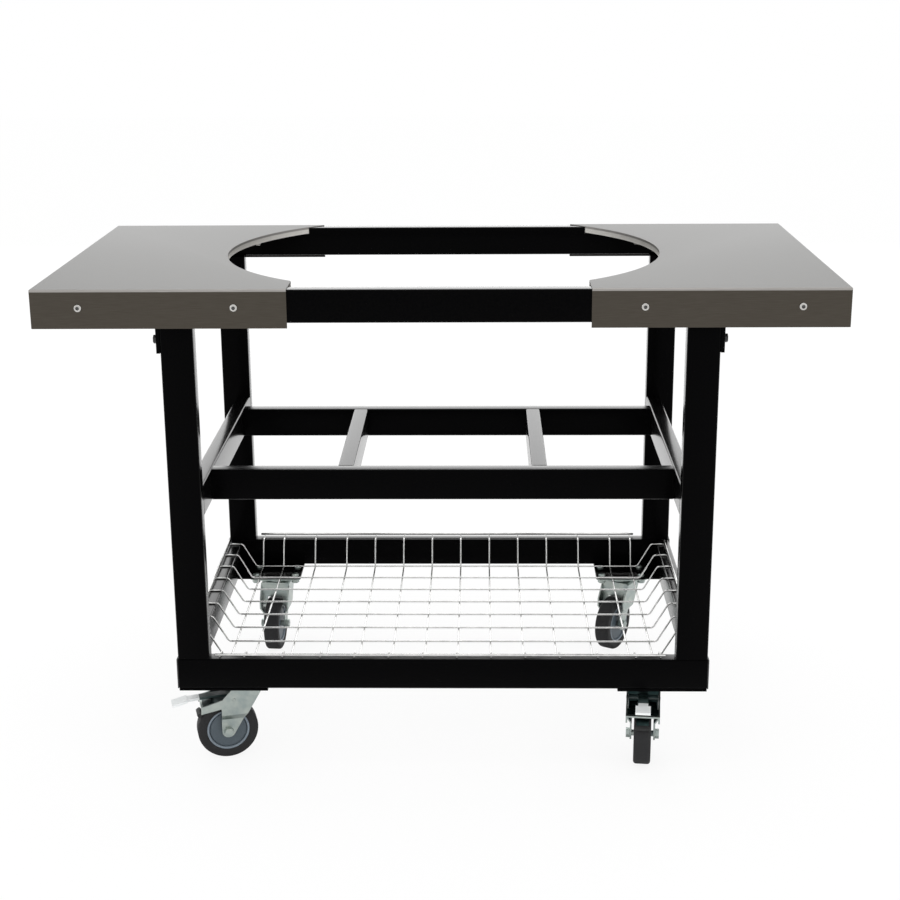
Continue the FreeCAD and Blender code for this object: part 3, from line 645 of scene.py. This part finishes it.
@dataclass(frozen=True)
class BrushedSteel:
    """Satin stainless: fine streaks in the tone, the roughness and the relief. One steel is painted in
    tones for the light: a lighter top, aprons in painted shade that is darkest inside them, and a
    painted highlight on the fold between them and on the lip round the opening."""

    # Painted light: the top's tone is the lit one and the aprons' the shaded one of the same steel;
    # inside the aprons is painted shade; the lip and the fold carry painted highlights.
    top: Tint = Tint((0.27, 0.268, 0.264), (0.31, 0.308, 0.303))
    shaded_apron: Tint = Tint((0.063, 0.055, 0.045), (0.08, 0.071, 0.059))
    unlit: Tint = Tint((0.012, 0.011, 0.01), (0.018, 0.016, 0.015))
    lip: Tint = Tint((0.62, 0.6, 0.56), (0.9, 0.88, 0.84))
    edge: Tint = Tint((0.3, 0.285, 0.27), (0.4, 0.385, 0.37))
    grazing_tint: float = 0.485
    opening: Pair = (0.0, 0.0497)
    lip_radius: float = 0.3638
    fold: Pair = (0.7955, 0.7965)
    fold_end: Pair = (0.7996, 0.7999)
    underside: Recess = Recess((0.0, 0.018, 0.767), 0.0, (0.6128, 0.3153, 0.0285))
    roughness: Pair = (0.28, 0.4)
    grain_size: float = 5.0
    grain_detail: float = 4.0
    grain_strength: float = 0.15
    grain_height: float = 0.00003

    def make(self, name: str) -> Material:
        """Builds the material.

        Args:
            name: the material's name.

        Returns:
            The material.
        """
        recipe = Recipe(name)
        recipe.settings(Metallic=1.0, Specular_Tint=grey(self.grazing_tint))
        grain = recipe.noise(Streak.ALONG_X, self.grain_size, self.grain_detail)
        shaded_apron, unlit, lip, edge, top = (
            recipe.ramp(grain, tint) for tint in (self.shaded_apron, self.unlit, self.lip, self.edge, self.top))
        # Painted shade inside the aprons, a painted highlight on the lip and the fold, and the lit tone
        # of the top above them.
        aprons = recipe.mixed(recipe.boxed(self.underside), shaded_apron, unlit)
        folded = recipe.mixed(recipe.within(self.opening, self.lip_radius), aprons, lip)
        sides = recipe.mixed(recipe.above(*self.fold), folded, edge)
        recipe.colour(recipe.mixed(recipe.above(*self.fold_end), sides, top))
        recipe.vary_roughness(grain, *self.roughness)
        recipe.raise_surface(grain, self.grain_strength, self.grain_height)
        return recipe.material


@dataclass(frozen=True)
class PlatedSteel:
    """Plated or coated steel: a clouded tint, and the dark of unlit zinc inside its recess if it has
    one. A coat of paint over the metal has a metallic of 0."""

    tint: Tint
    roughness: Pair
    recess: Recess | None = None
    metallic: float = 1.0
    cloud_size: float = 1.2

    def make(self, name: str) -> Material:
        """Builds the material.

        Args:
            name: the material's name.

        Returns:
            The material.
        """
        recipe = Recipe(name)
        recipe.settings(Metallic=self.metallic)
        cloud = recipe.noise(Streak.NONE, self.cloud_size)
        shade = recipe.ramp(cloud, self.tint)
        # Painted shade: unlit zinc inside the recess.
        if self.recess:
            shade = recipe.mixed(recipe.boxed(self.recess), shade, recipe.ramp(cloud, UNLIT_ZINC))
        recipe.colour(shade)
        recipe.vary_roughness(cloud, *self.roughness)
        return recipe.material


@dataclass(frozen=True)
class Moulded:
    """Rubber or plastic: a mottled colour with a fine texture."""

    tint: Tint
    roughness: Pair
    gloss: float = 0.5
    grain_size: float = 14.0
    grain_strength: float = 0.3
    grain_height: float = 0.00006

    def make(self, name: str) -> Material:
        """Builds the material.

        Args:
            name: the material's name.

        Returns:
            The material.
        """
        recipe = Recipe(name)
        recipe.settings(Specular_IOR_Level=self.gloss)
        grain = recipe.noise(Streak.NONE, self.grain_size)
        recipe.colour(recipe.ramp(grain, self.tint))
        recipe.vary_roughness(grain, *self.roughness)
        recipe.raise_surface(grain, self.grain_strength, self.grain_height)
        return recipe.material


class Finishes:
    """The table's finishes, made once. Those under the record's slot names are a slot's own, and the
    last four are for pieces that differ from their slot. The hooded forks and the pedals have one each,
    which their caster makes, because the box of its painted shade lies where the caster does."""

    def __init__(self) -> None:
        """Makes the materials."""
        finishes = {
            "black_powder_coat": PowderCoat(),
            "brushed_stainless": BrushedSteel(),
            "bright_wire": PlatedSteel(Tint((0.58, 0.58, 0.57), (0.72, 0.72, 0.71)), (0.16, 0.26)),
            "zinc_plate": PlatedSteel(ZINC, ZINC_ROUGHNESS),
            "screw_steel": PlatedSteel(Tint((0.42, 0.41, 0.39), (0.55, 0.54, 0.52)), (0.16, 0.24)),
            "black_bolt": Moulded(Tint((0.01, 0.01, 0.01), (0.02, 0.02, 0.02)), (0.35, 0.45)),
            "tread_rubber": Moulded(Tint((0.017, 0.017, 0.018), (0.026, 0.026, 0.027)), (0.55, 0.7),
                                    gloss=0.22),
            "hub_plastic": Moulded(Tint((0.062, 0.083, 0.1), (0.076, 0.1, 0.12)), (0.35, 0.45)),
            "cap_plastic": Moulded(Tint((0.012, 0.012, 0.012), (0.02, 0.02, 0.02)), (0.45, 0.55)),
            "hub_rim": Moulded(Tint((0.18, 0.22, 0.26), (0.22, 0.26, 0.3)), (0.3, 0.4)),
            "socket_shade": Moulded(Tint((0.05, 0.05, 0.05), (0.09, 0.09, 0.088)), (0.5, 0.6)),
            # Painted shade, worn by the front casters' fork wall and brake leaf.
            "fork_painted_shade": PlatedSteel(UNLIT_ZINC, (0.3, 0.45)),
            "brake_shoe": Moulded(Tint((0.006, 0.006, 0.006), (0.012, 0.012, 0.012)), (0.5, 0.6)),
        }
        self.made: dict[str, Material] = {name: finish.make(name) for name, finish in finishes.items()}

    def dress(self, piece: Piece, slot: str, body: str, *nodes: str,
              material: Material | None = None) -> None:
        """Gives a piece its finish, its body and the solids that it stands for.

        Args:
            piece: the object.
            slot: the record's material slot.
            body: the body that it moves with.
            nodes: the solids that it replaces.
            material: a finish of its own, if it isn't the slot's.
        """
        piece.data.materials.clear()
        piece.data.materials.append(material or self.made[slot])
        if nodes:
            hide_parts(*nodes)
        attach(piece, body)
        log.info("%s rides on %s for %s", piece.name, body, ", ".join(nodes) or "looks alone")

    def ease(self, node: str, width: float, slot: str, body: str = ROOT, segments: int = 2,
             material: Material | None = None) -> None:
        """Dresses a copy of a solid whose edges are rounded, so wide and in so many segments."""
        self.dress(softened(node, width, segments), slot, body, node, material=material)


# The table's assemblies


@dataclass
class TubeFrame:
    """Rectangular tubes with rounded corners, each run between its solid's two ends, and the plates,
    plugs and bolts on them."""

    finishes: Finishes
    corner: float = 0.0028
    wall: float = 0.0016
    end_ease: float = 0.0003
    plate_edge: float = 0.0006
    plug_edge: float = 0.0008
    bolt_edge: float = 0.0007
    tubes: tuple[str, ...] = (
        "top_rail_front", "top_rail_rear", "top_rail_left", "top_rail_right",
        "leg_front_left", "leg_front_right", "leg_rear_left", "leg_rear_right",
        "shelf_side_rail_left", "shelf_side_rail_right", "shelf_rail_front", "shelf_rail_rear",
        "shelf_crossbar_left", "shelf_crossbar_right",
        "base_rail_front", "base_rail_rear", "base_rail_left", "base_rail_right",
    )
    plates: tuple[str, ...] = ("leg_tabs", *(f"corner_plate_{corner.value}" for corner in Corner))

    def tube(self, node: str) -> Piece:
        """One tube: its outline runs along the solid's longest side, out and back through the bore.

        Args:
            node: the solid's name.

        Returns:
            The tube's object.
        """
        low, high = (np.array(corner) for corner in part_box(node))
        size = high - low
        run = int(np.argmax(size))
        first, second = [axis for axis in range(3) if axis != run]
        outer, eased, inner = (
            rounded_rectangle(size[first] - 2 * deep, size[second] - 2 * deep, self.corner - deep)
            for deep in (0.0, self.end_ease, self.wall))
        half = size[run] / 2
        stations = [(inner, -half), (eased, -half), (outer, self.end_ease - half),
                    (outer, half - self.end_ease), (eased, half), (inner, half)]
        grid = np.zeros((len(stations), len(outer), 3))
        middle = (low + high) / 2
        for row, (outline, at) in zip(grid, stations):
            row[:, first] = middle[first] + outline[:, 0]
            row[:, second] = middle[second] + outline[:, 1]
            row[:, run] = middle[run] + at
        return Shell(f"{node}_tube").add(grid, wrap_rows=True).build()

    def build(self) -> None:
        """Builds the tubes, plates, plugs and their black bolts."""
        for node in self.tubes:
            self.finishes.dress(self.tube(node), "black_powder_coat", ROOT, node)
        for node in self.plates:
            self.finishes.ease(node, self.plate_edge, "black_powder_coat")
        self.finishes.ease("tube_end_caps", self.plug_edge, "cap_plastic")
        self.finishes.ease("leg_tab_bolts", self.bolt_edge, "black_bolt")


@dataclass
class SideTable:
    """A folded stainless pan whose cut edges are eased."""

    finishes: Finishes
    side: Side
    cut_edge: float = 0.0003

    def build(self) -> None:
        """Builds the pan."""
        self.finishes.ease(f"side_table_{self.side.value}", self.cut_edge, "brushed_stainless")


@dataclass
class Fasteners:
    """Screws with domed heads and a driver's socket, nuts, and the casters' rivets. A share is of the
    head's radius or height, and pole is the radius at which a turned profile ends near its axis."""

    finishes: Finishes
    table_head: float = 0.003
    caster_head: float = 0.0035
    head_edge_share: float = 0.25
    socket_share: float = 0.46
    socket_depth_share: float = 0.7
    socket_taper: float = 0.94
    shade_share: float = 0.93
    shade_heights: Pair = (0.00003, 0.00025)
    shank_share: float = 0.49
    pole: float = 0.00002
    dome_steps: int = 7
    round_steps: int = 28
    shank_steps: int = 16
    screw_nut_edge: float = 0.0005
    caster_nut_edge: float = 0.0007
    rivet_edge: float = 0.0006

    def domed(self, axis: Axis, radius: float, high: float) -> np.ndarray:
        """A domed head: as t goes from 0 to 1 it rises to edge + (1 - edge) * sin(90 t) of its height
        and its radius shrinks by t squared to the socket's mouth, and then it goes into the socket.

        Args:
            axis: place of its seat and the way it points.
            radius: the head's radius.
            high: the head's height.

        Returns:
            Grid of the head's points.
        """
        sweep = np.linspace(0.0, 1.0, self.dome_steps)
        mouth = self.socket_share * radius
        reach = radius - (radius - mouth) * sweep**2
        rise = high * (self.head_edge_share + (1 - self.head_edge_share) * np.sin(sweep * math.pi / 2))
        floor = high * (1 - self.socket_depth_share)
        profile = np.vstack([[[0.0, radius]], np.stack([rise, reach], axis=-1),
                             [[floor, mouth * self.socket_taper], [floor, self.pole]]])
        return axis.turned(profile, self.round_steps)

    def shade(self, axis: Axis, radius: float, high: float) -> np.ndarray:
        """The shaded floor of a head's socket: a thin disc that nearly fills it.

        Args:
            axis: place of the head's seat and the way it points.
            radius: the head's radius.
            high: the head's height.

        Returns:
            Grid of the disc's points.
        """
        floor = high * (1 - self.socket_depth_share)
        edge = self.socket_share * radius * self.shade_share
        under, top = (floor + rise for rise in self.shade_heights)
        profile = np.array([[under, edge], [top, edge], [top, self.pole]])
        return axis.turned(profile, self.round_steps)

    def screws(self, node: str, high: float, run: int, slot: str) -> None:
        """Builds a node's domed screws: each points away from the frame's middle, or up.

        Args:
            node: the screws' node.
            high: the height of their heads.
            run: the axis that they lie along, 1 or 2.
            slot: their material slot.
        """
        screws, sockets = Shell(f"{node}_domed"), Shell(f"{node}_sockets")
        for low, top in loose_boxes(node):
            middle, radius = (low + top) / 2, (top[0] - low[0]) / 2
            out = -1.0 if run == 1 and middle[1] < 0 else 1.0
            seat = middle.copy()
            seat[run] = (top[run] if out > 0 else low[run]) - out * high
            axis = Axis(seat, out * np.eye(3)[run])
            screws.add(self.domed(axis, radius, high))
            sockets.add(self.shade(axis, radius, high))
            shank, deep = radius * self.shank_share, top[run] - low[run] - high
            profile = np.array([[0.0, shank], [deep, shank]])
            screws.add(Axis(seat, -axis.along).turned(profile, self.shank_steps))
        self.finishes.dress(screws.build(), slot, ROOT, node)
        self.finishes.dress(sockets.build(), slot, ROOT, material=self.finishes.made["socket_shade"])

    def build(self) -> None:
        """Builds the table screws, the caster bolts, every nut and the rivets."""
        self.screws("table_screws", self.table_head, 1, "screw_steel")
        self.screws("caster_bolts", self.caster_head, 2, "zinc_plate")
        self.finishes.ease("table_screw_nuts", self.screw_nut_edge, "screw_steel")
        self.finishes.ease("caster_bolt_nuts", self.caster_nut_edge, "zinc_plate")
        self.finishes.ease("caster_kingpins", self.rivet_edge, "zinc_plate")


@dataclass
class WireBasket:
    """A welded basket of round wire: troughs both ways, with four rods on the rims."""

    finishes: Finishes
    bend: float = 0.005
    lip_run: float = 0.025
    slope_run: float = 0.026
    cross_slope_run: float = 0.021
    thickest: float = 0.0015
    end_tuck: float = 0.4
    end_share: float = 0.55
    round_steps: int = 10
    smooth: float = 60.0

    def wire(self, corners: np.ndarray, radius: float, side: np.ndarray) -> np.ndarray:
        """A round wire along a bent path, narrowed at both ends to a small dome.

        Args:
            corners: the path's sharp corners (n, 3).
            radius: the wire's radius.
            side: the normal of the plane that the path lies in.

        Returns:
            Grid of the wire's points.
        """
        path = bent(corners, self.bend) if len(corners) > 2 else corners
        tangents = unit(np.stack([path[1] - path[0], path[-1] - path[-2]]))
        tuck = radius * self.end_tuck
        path = np.vstack([path[:1], path[:1] + tangents[0] * tuck, path[1:-1],
                          path[-1:] - tangents[1] * tuck, path[-1:]])
        grid = carried(path, ring(radius, self.round_steps), side)
        for end in (0, -1):
            grid[end] = path[end] + (grid[end] - path[end]) * self.end_share
        return grid

    def trough(self, low: np.ndarray, high: np.ndarray, run: int,
               slope: float) -> tuple[np.ndarray, float]:
        """A wire's corners from its solid's box: lip, slope, floor, slope, lip. The solid is six-sided,
        and the round wire is the one that fits inside it.

        Args:
            low: the box's lowest corner.
            high: the box's highest corner.
            run: the axis along which the wire runs, 0 or 1.
            slope: how far in the floor starts from the lip's bend.

        Returns:
            The corners (6, 3) and the wire's radius.
        """
        across = 1 - run
        radius = min((high[across] - low[across]) / 2 * math.cos(math.pi / 6), self.thickest)
        middle = (low + high) / 2
        inset = np.array([0.0, self.lip_run, self.lip_run + slope])
        out = high[run] - middle[run] - inset
        corners = np.zeros((6, 3))
        corners[:, run] = middle[run] + np.concatenate([-out, out[::-1]])
        corners[:, across] = middle[across]
        corners[:, 2] = np.array([high[2], high[2], low[2], low[2], high[2], high[2]])
        corners[:, 2] += np.array([-1, -1, 1, 1, -1, -1]) * radius
        return corners, radius

    def build(self) -> None:
        """Builds both layers of wires and the rods."""
        for node, run, slope in (("basket_long_wires", 0, self.slope_run),
                                 ("basket_cross_wires", 1, self.cross_slope_run)):
            shell = Shell(f"{node}_round")
            side = np.eye(3)[1 - run]
            for low, high in loose_boxes(node):
                corners, radius = self.trough(low, high, run, slope)
                shell.add(self.wire(corners, radius, side))
            self.finishes.dress(shell.build(self.smooth), "bright_wire", "basket", node)
        shell = Shell("basket_rim_rods_round")
        for low, high in loose_boxes("basket_rim_rods"):
            run = int(np.argmax(high - low))
            middle = (low + high) / 2
            ends = np.stack([middle, middle])
            ends[0, run], ends[1, run] = low[run], high[run]
            shell.add(self.wire(ends, (high[2] - low[2]) / 2, np.eye(3)[1 - run]))
        self.finishes.dress(shell.build(self.smooth), "bright_wire", "basket", "basket_rim_rods")


@dataclass
class Caster:
    """A swivel caster: plate and race, pressed fork, axle, wheel, and on the front a hood and a brake.

    The walls are given by their near and far faces from the swivel and their lowest and highest points,
    hood_shaded and arm_shaded as recess() takes them, and the strips of the brake's leaf by their first
    and last turn about the axle, in degrees up from the heading, and their width."""

    finishes: Finishes
    corner: Corner
    joints: dict[str, dict]
    wheel_radius: float = 0.05
    tread_half: float = 0.014
    tread_inner: float = 0.0352
    tread_chamfer: Pair = (0.0006, 0.0008)
    shoulder: float = 0.005
    shoulder_turn: float = 84.0
    shoulder_steps: int = 9
    disc_half: float = 0.0112
    bore: float = 0.0052
    groove_inner: float = 0.03
    groove_depth: float = 0.002
    groove_ease: float = 0.0006
    rim_inner: float = 0.0315
    rim_inset: float = 0.0006
    rim_depth: float = 0.003
    rim_ease: float = 0.0012
    rim_steps: int = 5
    round_steps: int = 96
    hub_steps: int = 72
    tread_smooth: float = 50.0
    smooth: float = 40.0
    plate_edge: float = 0.0007
    press_edge: float = 0.0009
    axle_edge: float = 0.0008
    pedal_edge: float = 0.0012
    pin_edge: float = 0.0005
    press_steps: int = 3
    shoe_place: Pair = (0.0755, 0.08)
    shoe_size: Triple = (0.008, 0.0065, 0.024)
    shoe_corner: float = 0.0015
    shoe_lean: float = 35.0
    leaf_radius: float = 0.0517
    leaf_gauge: float = 0.001
    leaf_corner_share: float = 0.3
    leaf_strips: tuple[Triple, ...] = ((106.0, 62.0, 0.044), (63.0, 35.0, 0.02))
    leaf_steps: int = 14
    wall_half: float = 0.0245
    wall_clear: float = 0.0148
    wall_foot: float = 0.084
    hooded_wall: tuple[float, ...] = (0.011, 0.012, 0.0975, 0.126)
    plain_wall: tuple[float, ...] = (0.0215, 0.0238, 0.1008, 0.1085)
    # Boxes of painted shade: inside the front fork's hood and on the pedal's arm.
    hood_shaded: tuple[float, ...] = (-0.03, 0.0705, 0.0249, 0.0825, 0.128)
    arm_shaded: tuple[float, ...] = (-0.01, 0.0745, 0.03, 0.08, 0.14)

    def named(self, what: str) -> str:
        """A name with the caster's corner at its end."""
        return f"{what}_{self.corner.value}"

    def axle(self) -> Axis:
        """The wheel's axis, from the frame's joint."""
        joint = self.joints[self.named("wheel_spin")]
        return Axis(np.array(joint["pos_m"]), unit(np.array(joint["axis"])))

    def heading(self) -> tuple[np.ndarray, np.ndarray]:
        """The swivel's place on the floor, and the level unit vector from it towards the wheel."""
        pivot = np.array(self.joints[self.named("swivel_turn")]["pos_m"]) * LEVEL
        return pivot, unit((self.axle().origin - pivot) * LEVEL)

    def round_piece(self, what: str, profile: np.ndarray, steps: int, smooth: float) -> Piece:
        """A closed profile, of distances along the axle and radii, turned into a piece of the wheel."""
        grid = self.axle().turned(profile, steps)
        return Shell(self.named(what)).add(grid, wrap_rows=True).build(smooth)

    def tread(self) -> Piece:
        """The rubber band: flat sides, a quarter-round shoulder each side and a barely crowned face.

        Returns:
            The tread's object.
        """
        side, crown, inner = self.tread_half, self.wheel_radius, self.tread_inner
        across, up = self.tread_chamfer
        centre = (side - self.shoulder, crown - self.shoulder)
        half = np.vstack([[[side - across, inner]], [[side, inner + up]],
                          arc(centre, self.shoulder, 0.0, self.shoulder_turn, self.shoulder_steps),
                          [[0.0, crown]]])
        return self.round_piece("tread", mirrored(half, 1), self.round_steps, self.tread_smooth)

    def hub(self) -> Piece:
        """The hub's disc with a groove near its rim, on both sides.

        Returns:
            The hub's object.
        """
        side, groove, ease = self.disc_half, self.groove_inner, self.groove_ease
        deep = side - self.groove_depth
        half = np.array([[side, self.bore], [side, groove - ease], [side - ease, groove],
                         [deep, groove], [deep, self.rim_inner]])
        return self.round_piece("hub", mirrored(half), self.hub_steps, self.smooth)

    def rim(self) -> Piece:
        """The hub's raised rim: a band with rounded shoulders.

        Returns:
            The rim's object.
        """
        side, inner, outer = self.tread_half - self.rim_inset, self.rim_inner, self.tread_inner
        ease = self.rim_ease
        half = np.vstack([[[side - self.rim_depth, inner]], [[side - ease, inner]],
                          arc((side - ease, inner + ease), ease, -90.0, 0.0, self.rim_steps)[1:],
                          arc((side - ease, outer - ease), ease, 0.0, 90.0, self.rim_steps)])
        return self.round_piece("hub_rim", mirrored(half), self.round_steps, self.smooth)

    def recess(self, near: float, far: float, half: float, low: float, high: float) -> Recess:
        """A box along the caster's heading.

        Args:
            near: where it starts, from the swivel towards the wheel.
            far: where it ends.
            half: half its width across the heading.
            low: its lower height.
            high: its upper height.

        Returns:
            The turned box.
        """
        pivot, ahead = self.heading()
        middle = pivot + ahead * (near + far) / 2
        return Recess((middle[0], middle[1], (low + high) / 2), math.atan2(ahead[1], ahead[0]),
                      ((far - near) / 2, half, (high - low) / 2))

    def wall(self) -> Piece:
        """The pressed wall that closes the fork over the wheel: an upright arch between its cheeks,
        whose outline (y, z) runs round the wheel's tread and is carried from near face to far face.

        Returns:
            The wall's object.
        """
        near, far, low, high = self.hooded_wall if self.corner.braked else self.plain_wall
        pivot, ahead = self.heading()
        clear, wide, foot = self.wall_clear, self.wall_half, self.wall_foot
        outline = mirrored(np.array([[clear, low], [clear, foot], [wide, foot], [wide, high]]))
        face = pivot + outline[:, :1] * np.cross(UP, ahead) + outline[:, 1:] * UP
        grid = face[None] + np.array([near, far])[:, None, None] * ahead
        return Shell(self.named("fork_wall")).add(grid).build()

    def shoe(self) -> Piece:
        """The brake's dark shoe under the hood's tip: a rounded block that leans across the tread.

        Returns:
            The shoe's object.
        """
        pivot, ahead = self.heading()
        forward, height = self.shoe_place
        centre = pivot + ahead * forward + UP * height
        long, high, wide = self.shoe_size
        lean = math.radians(self.shoe_lean)
        first = ahead * math.cos(lean) - UP * math.sin(lean)
        second = ahead * math.sin(lean) + UP * math.cos(lean)
        outline = rounded_rectangle(long, high, self.shoe_corner)
        flat = outline[:, :1] * first + outline[:, 1:] * second
        steps = np.array([-0.5, 0.5])[:, None, None] * wide * np.cross(first, second)
        return Shell(self.named("brake_shoe")).add(centre + flat[None] + steps).build(self.smooth)

    def leaf(self) -> Piece:
        """The brake's spring leaf, which carries the shoe: a strip bent round the wheel, wide under the
        pedal and narrow at the shoe. Its middle is axle + radius * (cos turn * ahead + sin turn * up).

        Returns:
            The leaf's object.
        """
        origin, ahead = self.axle().origin, self.heading()[1]
        strips = Shell(self.named("brake_leaf"))
        for start, end, wide in self.leaf_strips:
            turn = np.radians(np.linspace(start, end, self.leaf_steps))[:, None]
            middle = origin + self.leaf_radius * (np.cos(turn) * ahead + np.sin(turn) * UP)
            corner = self.leaf_gauge * self.leaf_corner_share
            outline = rounded_rectangle(self.leaf_gauge, wide, corner, 2)
            strips.add(carried(middle, outline, np.cross(UP, ahead)))
        return strips.build()

    def build(self) -> None:
        """Builds the caster's pieces on the frame, the swivel, the wheel and the pedal."""
        named, made = self.named, self.finishes.made
        dress, ease = self.finishes.dress, self.finishes.ease
        swivel, wheel = named("swivel"), named("wheel")
        fork, inside = None, None
        # The front fork takes painted shade inside its hood, and its wall and the brake's leaf are in
        # painted shade all over.
        if self.corner.braked:
            plating = PlatedSteel(ZINC, ZINC_ROUGHNESS, self.recess(*self.hood_shaded))
            fork, inside = plating.make(named("plated_fork")), made["fork_painted_shade"]
        ease(named("caster_top_plate"), self.plate_edge, "zinc_plate")
        ease(named("caster_fork"), self.press_edge, "zinc_plate", swivel, self.press_steps, fork)
        dress(self.wall(), "zinc_plate", swivel, material=inside)
        ease(named("caster_axle"), self.axle_edge, "zinc_plate", swivel)
        dress(self.tread(), "tread_rubber", wheel, named("wheel_tread"))
        dress(self.hub(), "hub_plastic", wheel, named("wheel_hub"))
        dress(self.rim(), "hub_plastic", wheel, material=made["hub_rim"])
        if self.corner.braked:
            dress(self.shoe(), "tread_rubber", swivel, material=made["brake_shoe"])
            dress(self.leaf(), "zinc_plate", swivel, material=inside)
            # The pedal's pale coat, with painted shade on its arm.
            coat = PlatedSteel(PALE_COAT, PALE_COAT_ROUGHNESS, self.recess(*self.arm_shaded), 0.0)
            ease(named("brake_pedal"), self.pedal_edge, "pedal_plastic", named("pedal"),
                 self.press_steps, coat.make(named("coated_pedal")))
            ease(named("brake_pedal_pin"), self.pin_edge, "zinc_plate", swivel)


@dataclass(frozen=True)
class Softbox:
    """A rectangular lamp: where it hangs, the point that it faces, its width and height, its watts."""

    name: str
    place: Triple
    aim: Triple
    size: Pair
    power: float


@dataclass
class Studio:
    """A white floor and surround, soft lamps, and the photograph's camera. Angles are in degrees, and
    focal_share is the camera's focal length over the picture's width."""

    eye: Triple = (0.06209, -2.7024, 1.2589)
    pitch: float = 16.43
    yaw: float = -1.118
    roll: float = -0.374
    focal_share: float = 1638.8 / 900
    sensor: float = 36.0
    clip: Pair = (0.1, 100.0)
    floor_half: float = 12.0
    floor_tone: float = 0.97
    floor_glow: float = 0.88
    white: float = 1.0
    softboxes: tuple[Softbox, ...] = (
        Softbox("overhead_softbox", (0.2, 0.2, 3.0), (0.0, 0.0, 0.6), (3.0, 2.4), 12.0),
        Softbox("rear_softbox", (0.0, 4.5, 1.9), (0.0, 0.0, 0.7), (5.0, 3.2), 62.5),
        Softbox("left_softbox", (-3.0, -2.0, 1.8), (0.0, 0.0, 0.5), (2.0, 1.6), 6.0),
        Softbox("right_softbox", (3.0, -1.6, 1.6), (0.0, 0.0, 0.5), (2.0, 1.6), 5.0),
    )

    def camera(self) -> None:
        """Places the camera: it looks down by pitch, is turned by yaw and rolled about its view."""
        pitch, yaw, roll = (math.radians(angle) for angle in (self.pitch, self.yaw, self.roll))
        level = math.cos(pitch)
        ahead = Vector((math.sin(yaw) * level, math.cos(yaw) * level, -math.sin(pitch)))
        right = Vector((math.cos(yaw), -math.sin(yaw), 0.0))
        up = right.cross(ahead)
        across = math.cos(roll) * right + math.sin(roll) * up
        upright = -math.sin(roll) * right + math.cos(roll) * up
        data = bpy.data.cameras.new("studio_camera")
        data.sensor_width = self.sensor
        data.lens = self.sensor * self.focal_share
        data.clip_start, data.clip_end = self.clip
        made = bpy.data.objects.new("studio_camera", data)
        turn = Matrix((across, upright, -ahead)).transposed().to_4x4()
        made.matrix_world = Matrix.Translation(Vector(self.eye)) @ turn
        bpy.context.scene.collection.objects.link(made)
        bpy.context.scene.camera = made

    def surround(self) -> None:
        """The world: one plain white, seen, mirrored and lighting alike."""
        world = bpy.data.worlds.new("studio_world")
        bpy.context.scene.world = world
        world.use_nodes = True
        plain = world.node_tree.nodes["Background"]
        plain.inputs["Color"].default_value = grey(1.0)
        plain.inputs["Strength"].default_value = self.white

    def floor_finish(self) -> Material:
        """The floor's material: matt, and to the camera mostly a plain white.

        Returns:
            The material.
        """
        material = bpy.data.materials.new("studio_floor")
        material.use_nodes = True
        tree = material.node_tree
        tree.nodes.clear()
        matt, glow, seen, share, mix, out = (tree.nodes.new(f"ShaderNode{kind}") for kind in (
            "BsdfDiffuse", "Emission", "LightPath", "Math", "MixShader", "OutputMaterial"))
        matt.inputs["Color"].default_value = grey(self.floor_tone)
        glow.inputs["Strength"].default_value = self.white
        share.operation = "MULTIPLY"
        share.inputs[1].default_value = self.floor_glow
        tree.links.new(seen.outputs["Is Camera Ray"], share.inputs[0])
        tree.links.new(share.outputs[0], mix.inputs["Fac"])
        tree.links.new(matt.outputs[0], mix.inputs[1])
        tree.links.new(glow.outputs[0], mix.inputs[2])
        tree.links.new(mix.outputs[0], out.inputs["Surface"])
        return material

    def floor(self) -> None:
        """A pale floor that reads as white and keeps a faint shadow."""
        half = self.floor_half
        corners = [(-half, -half, 0), (half, -half, 0), (half, half, 0), (-half, half, 0)]
        mesh = bpy.data.meshes.new("studio_floor")
        mesh.from_pydata(corners, [], [(0, 1, 2, 3)])
        mesh.materials.append(self.floor_finish())
        made = bpy.data.objects.new("studio_floor", mesh)
        bpy.context.scene.collection.objects.link(made)

    def lamp(self, softbox: Softbox) -> None:
        """Hangs a softbox and turns its face to its aim.

        Args:
            softbox: the lamp's place, aim, size and power.
        """
        data = bpy.data.lights.new(softbox.name, "AREA")
        data.shape = "RECTANGLE"
        data.size, data.size_y = softbox.size
        data.energy = softbox.power
        made = bpy.data.objects.new(softbox.name, data)
        made.location = softbox.place
        facing = Vector(softbox.aim) - Vector(softbox.place)
        made.rotation_euler = facing.to_track_quat("-Z", "Y").to_euler()
        bpy.context.scene.collection.objects.link(made)

    def build(self) -> None:
        """Builds the studio."""
        bpy.context.scene.view_settings.view_transform = "Standard"
        self.camera()
        self.surround()
        self.floor()
        for softbox in self.softboxes:
            self.lamp(softbox)


def main() -> None:
    """Builds every assembly in order, then the studio."""
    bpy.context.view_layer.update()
    finishes = Finishes()
    joints = {joint["name"]: joint for joint in frame["joints"]}
    TubeFrame(finishes).build()
    for side in Side:
        SideTable(finishes, side).build()
    Fasteners(finishes).build()
    WireBasket(finishes).build()
    for corner in Corner:
        Caster(finishes, corner, joints).build()
    Studio().build()


if __name__ == "__main__":
    main()
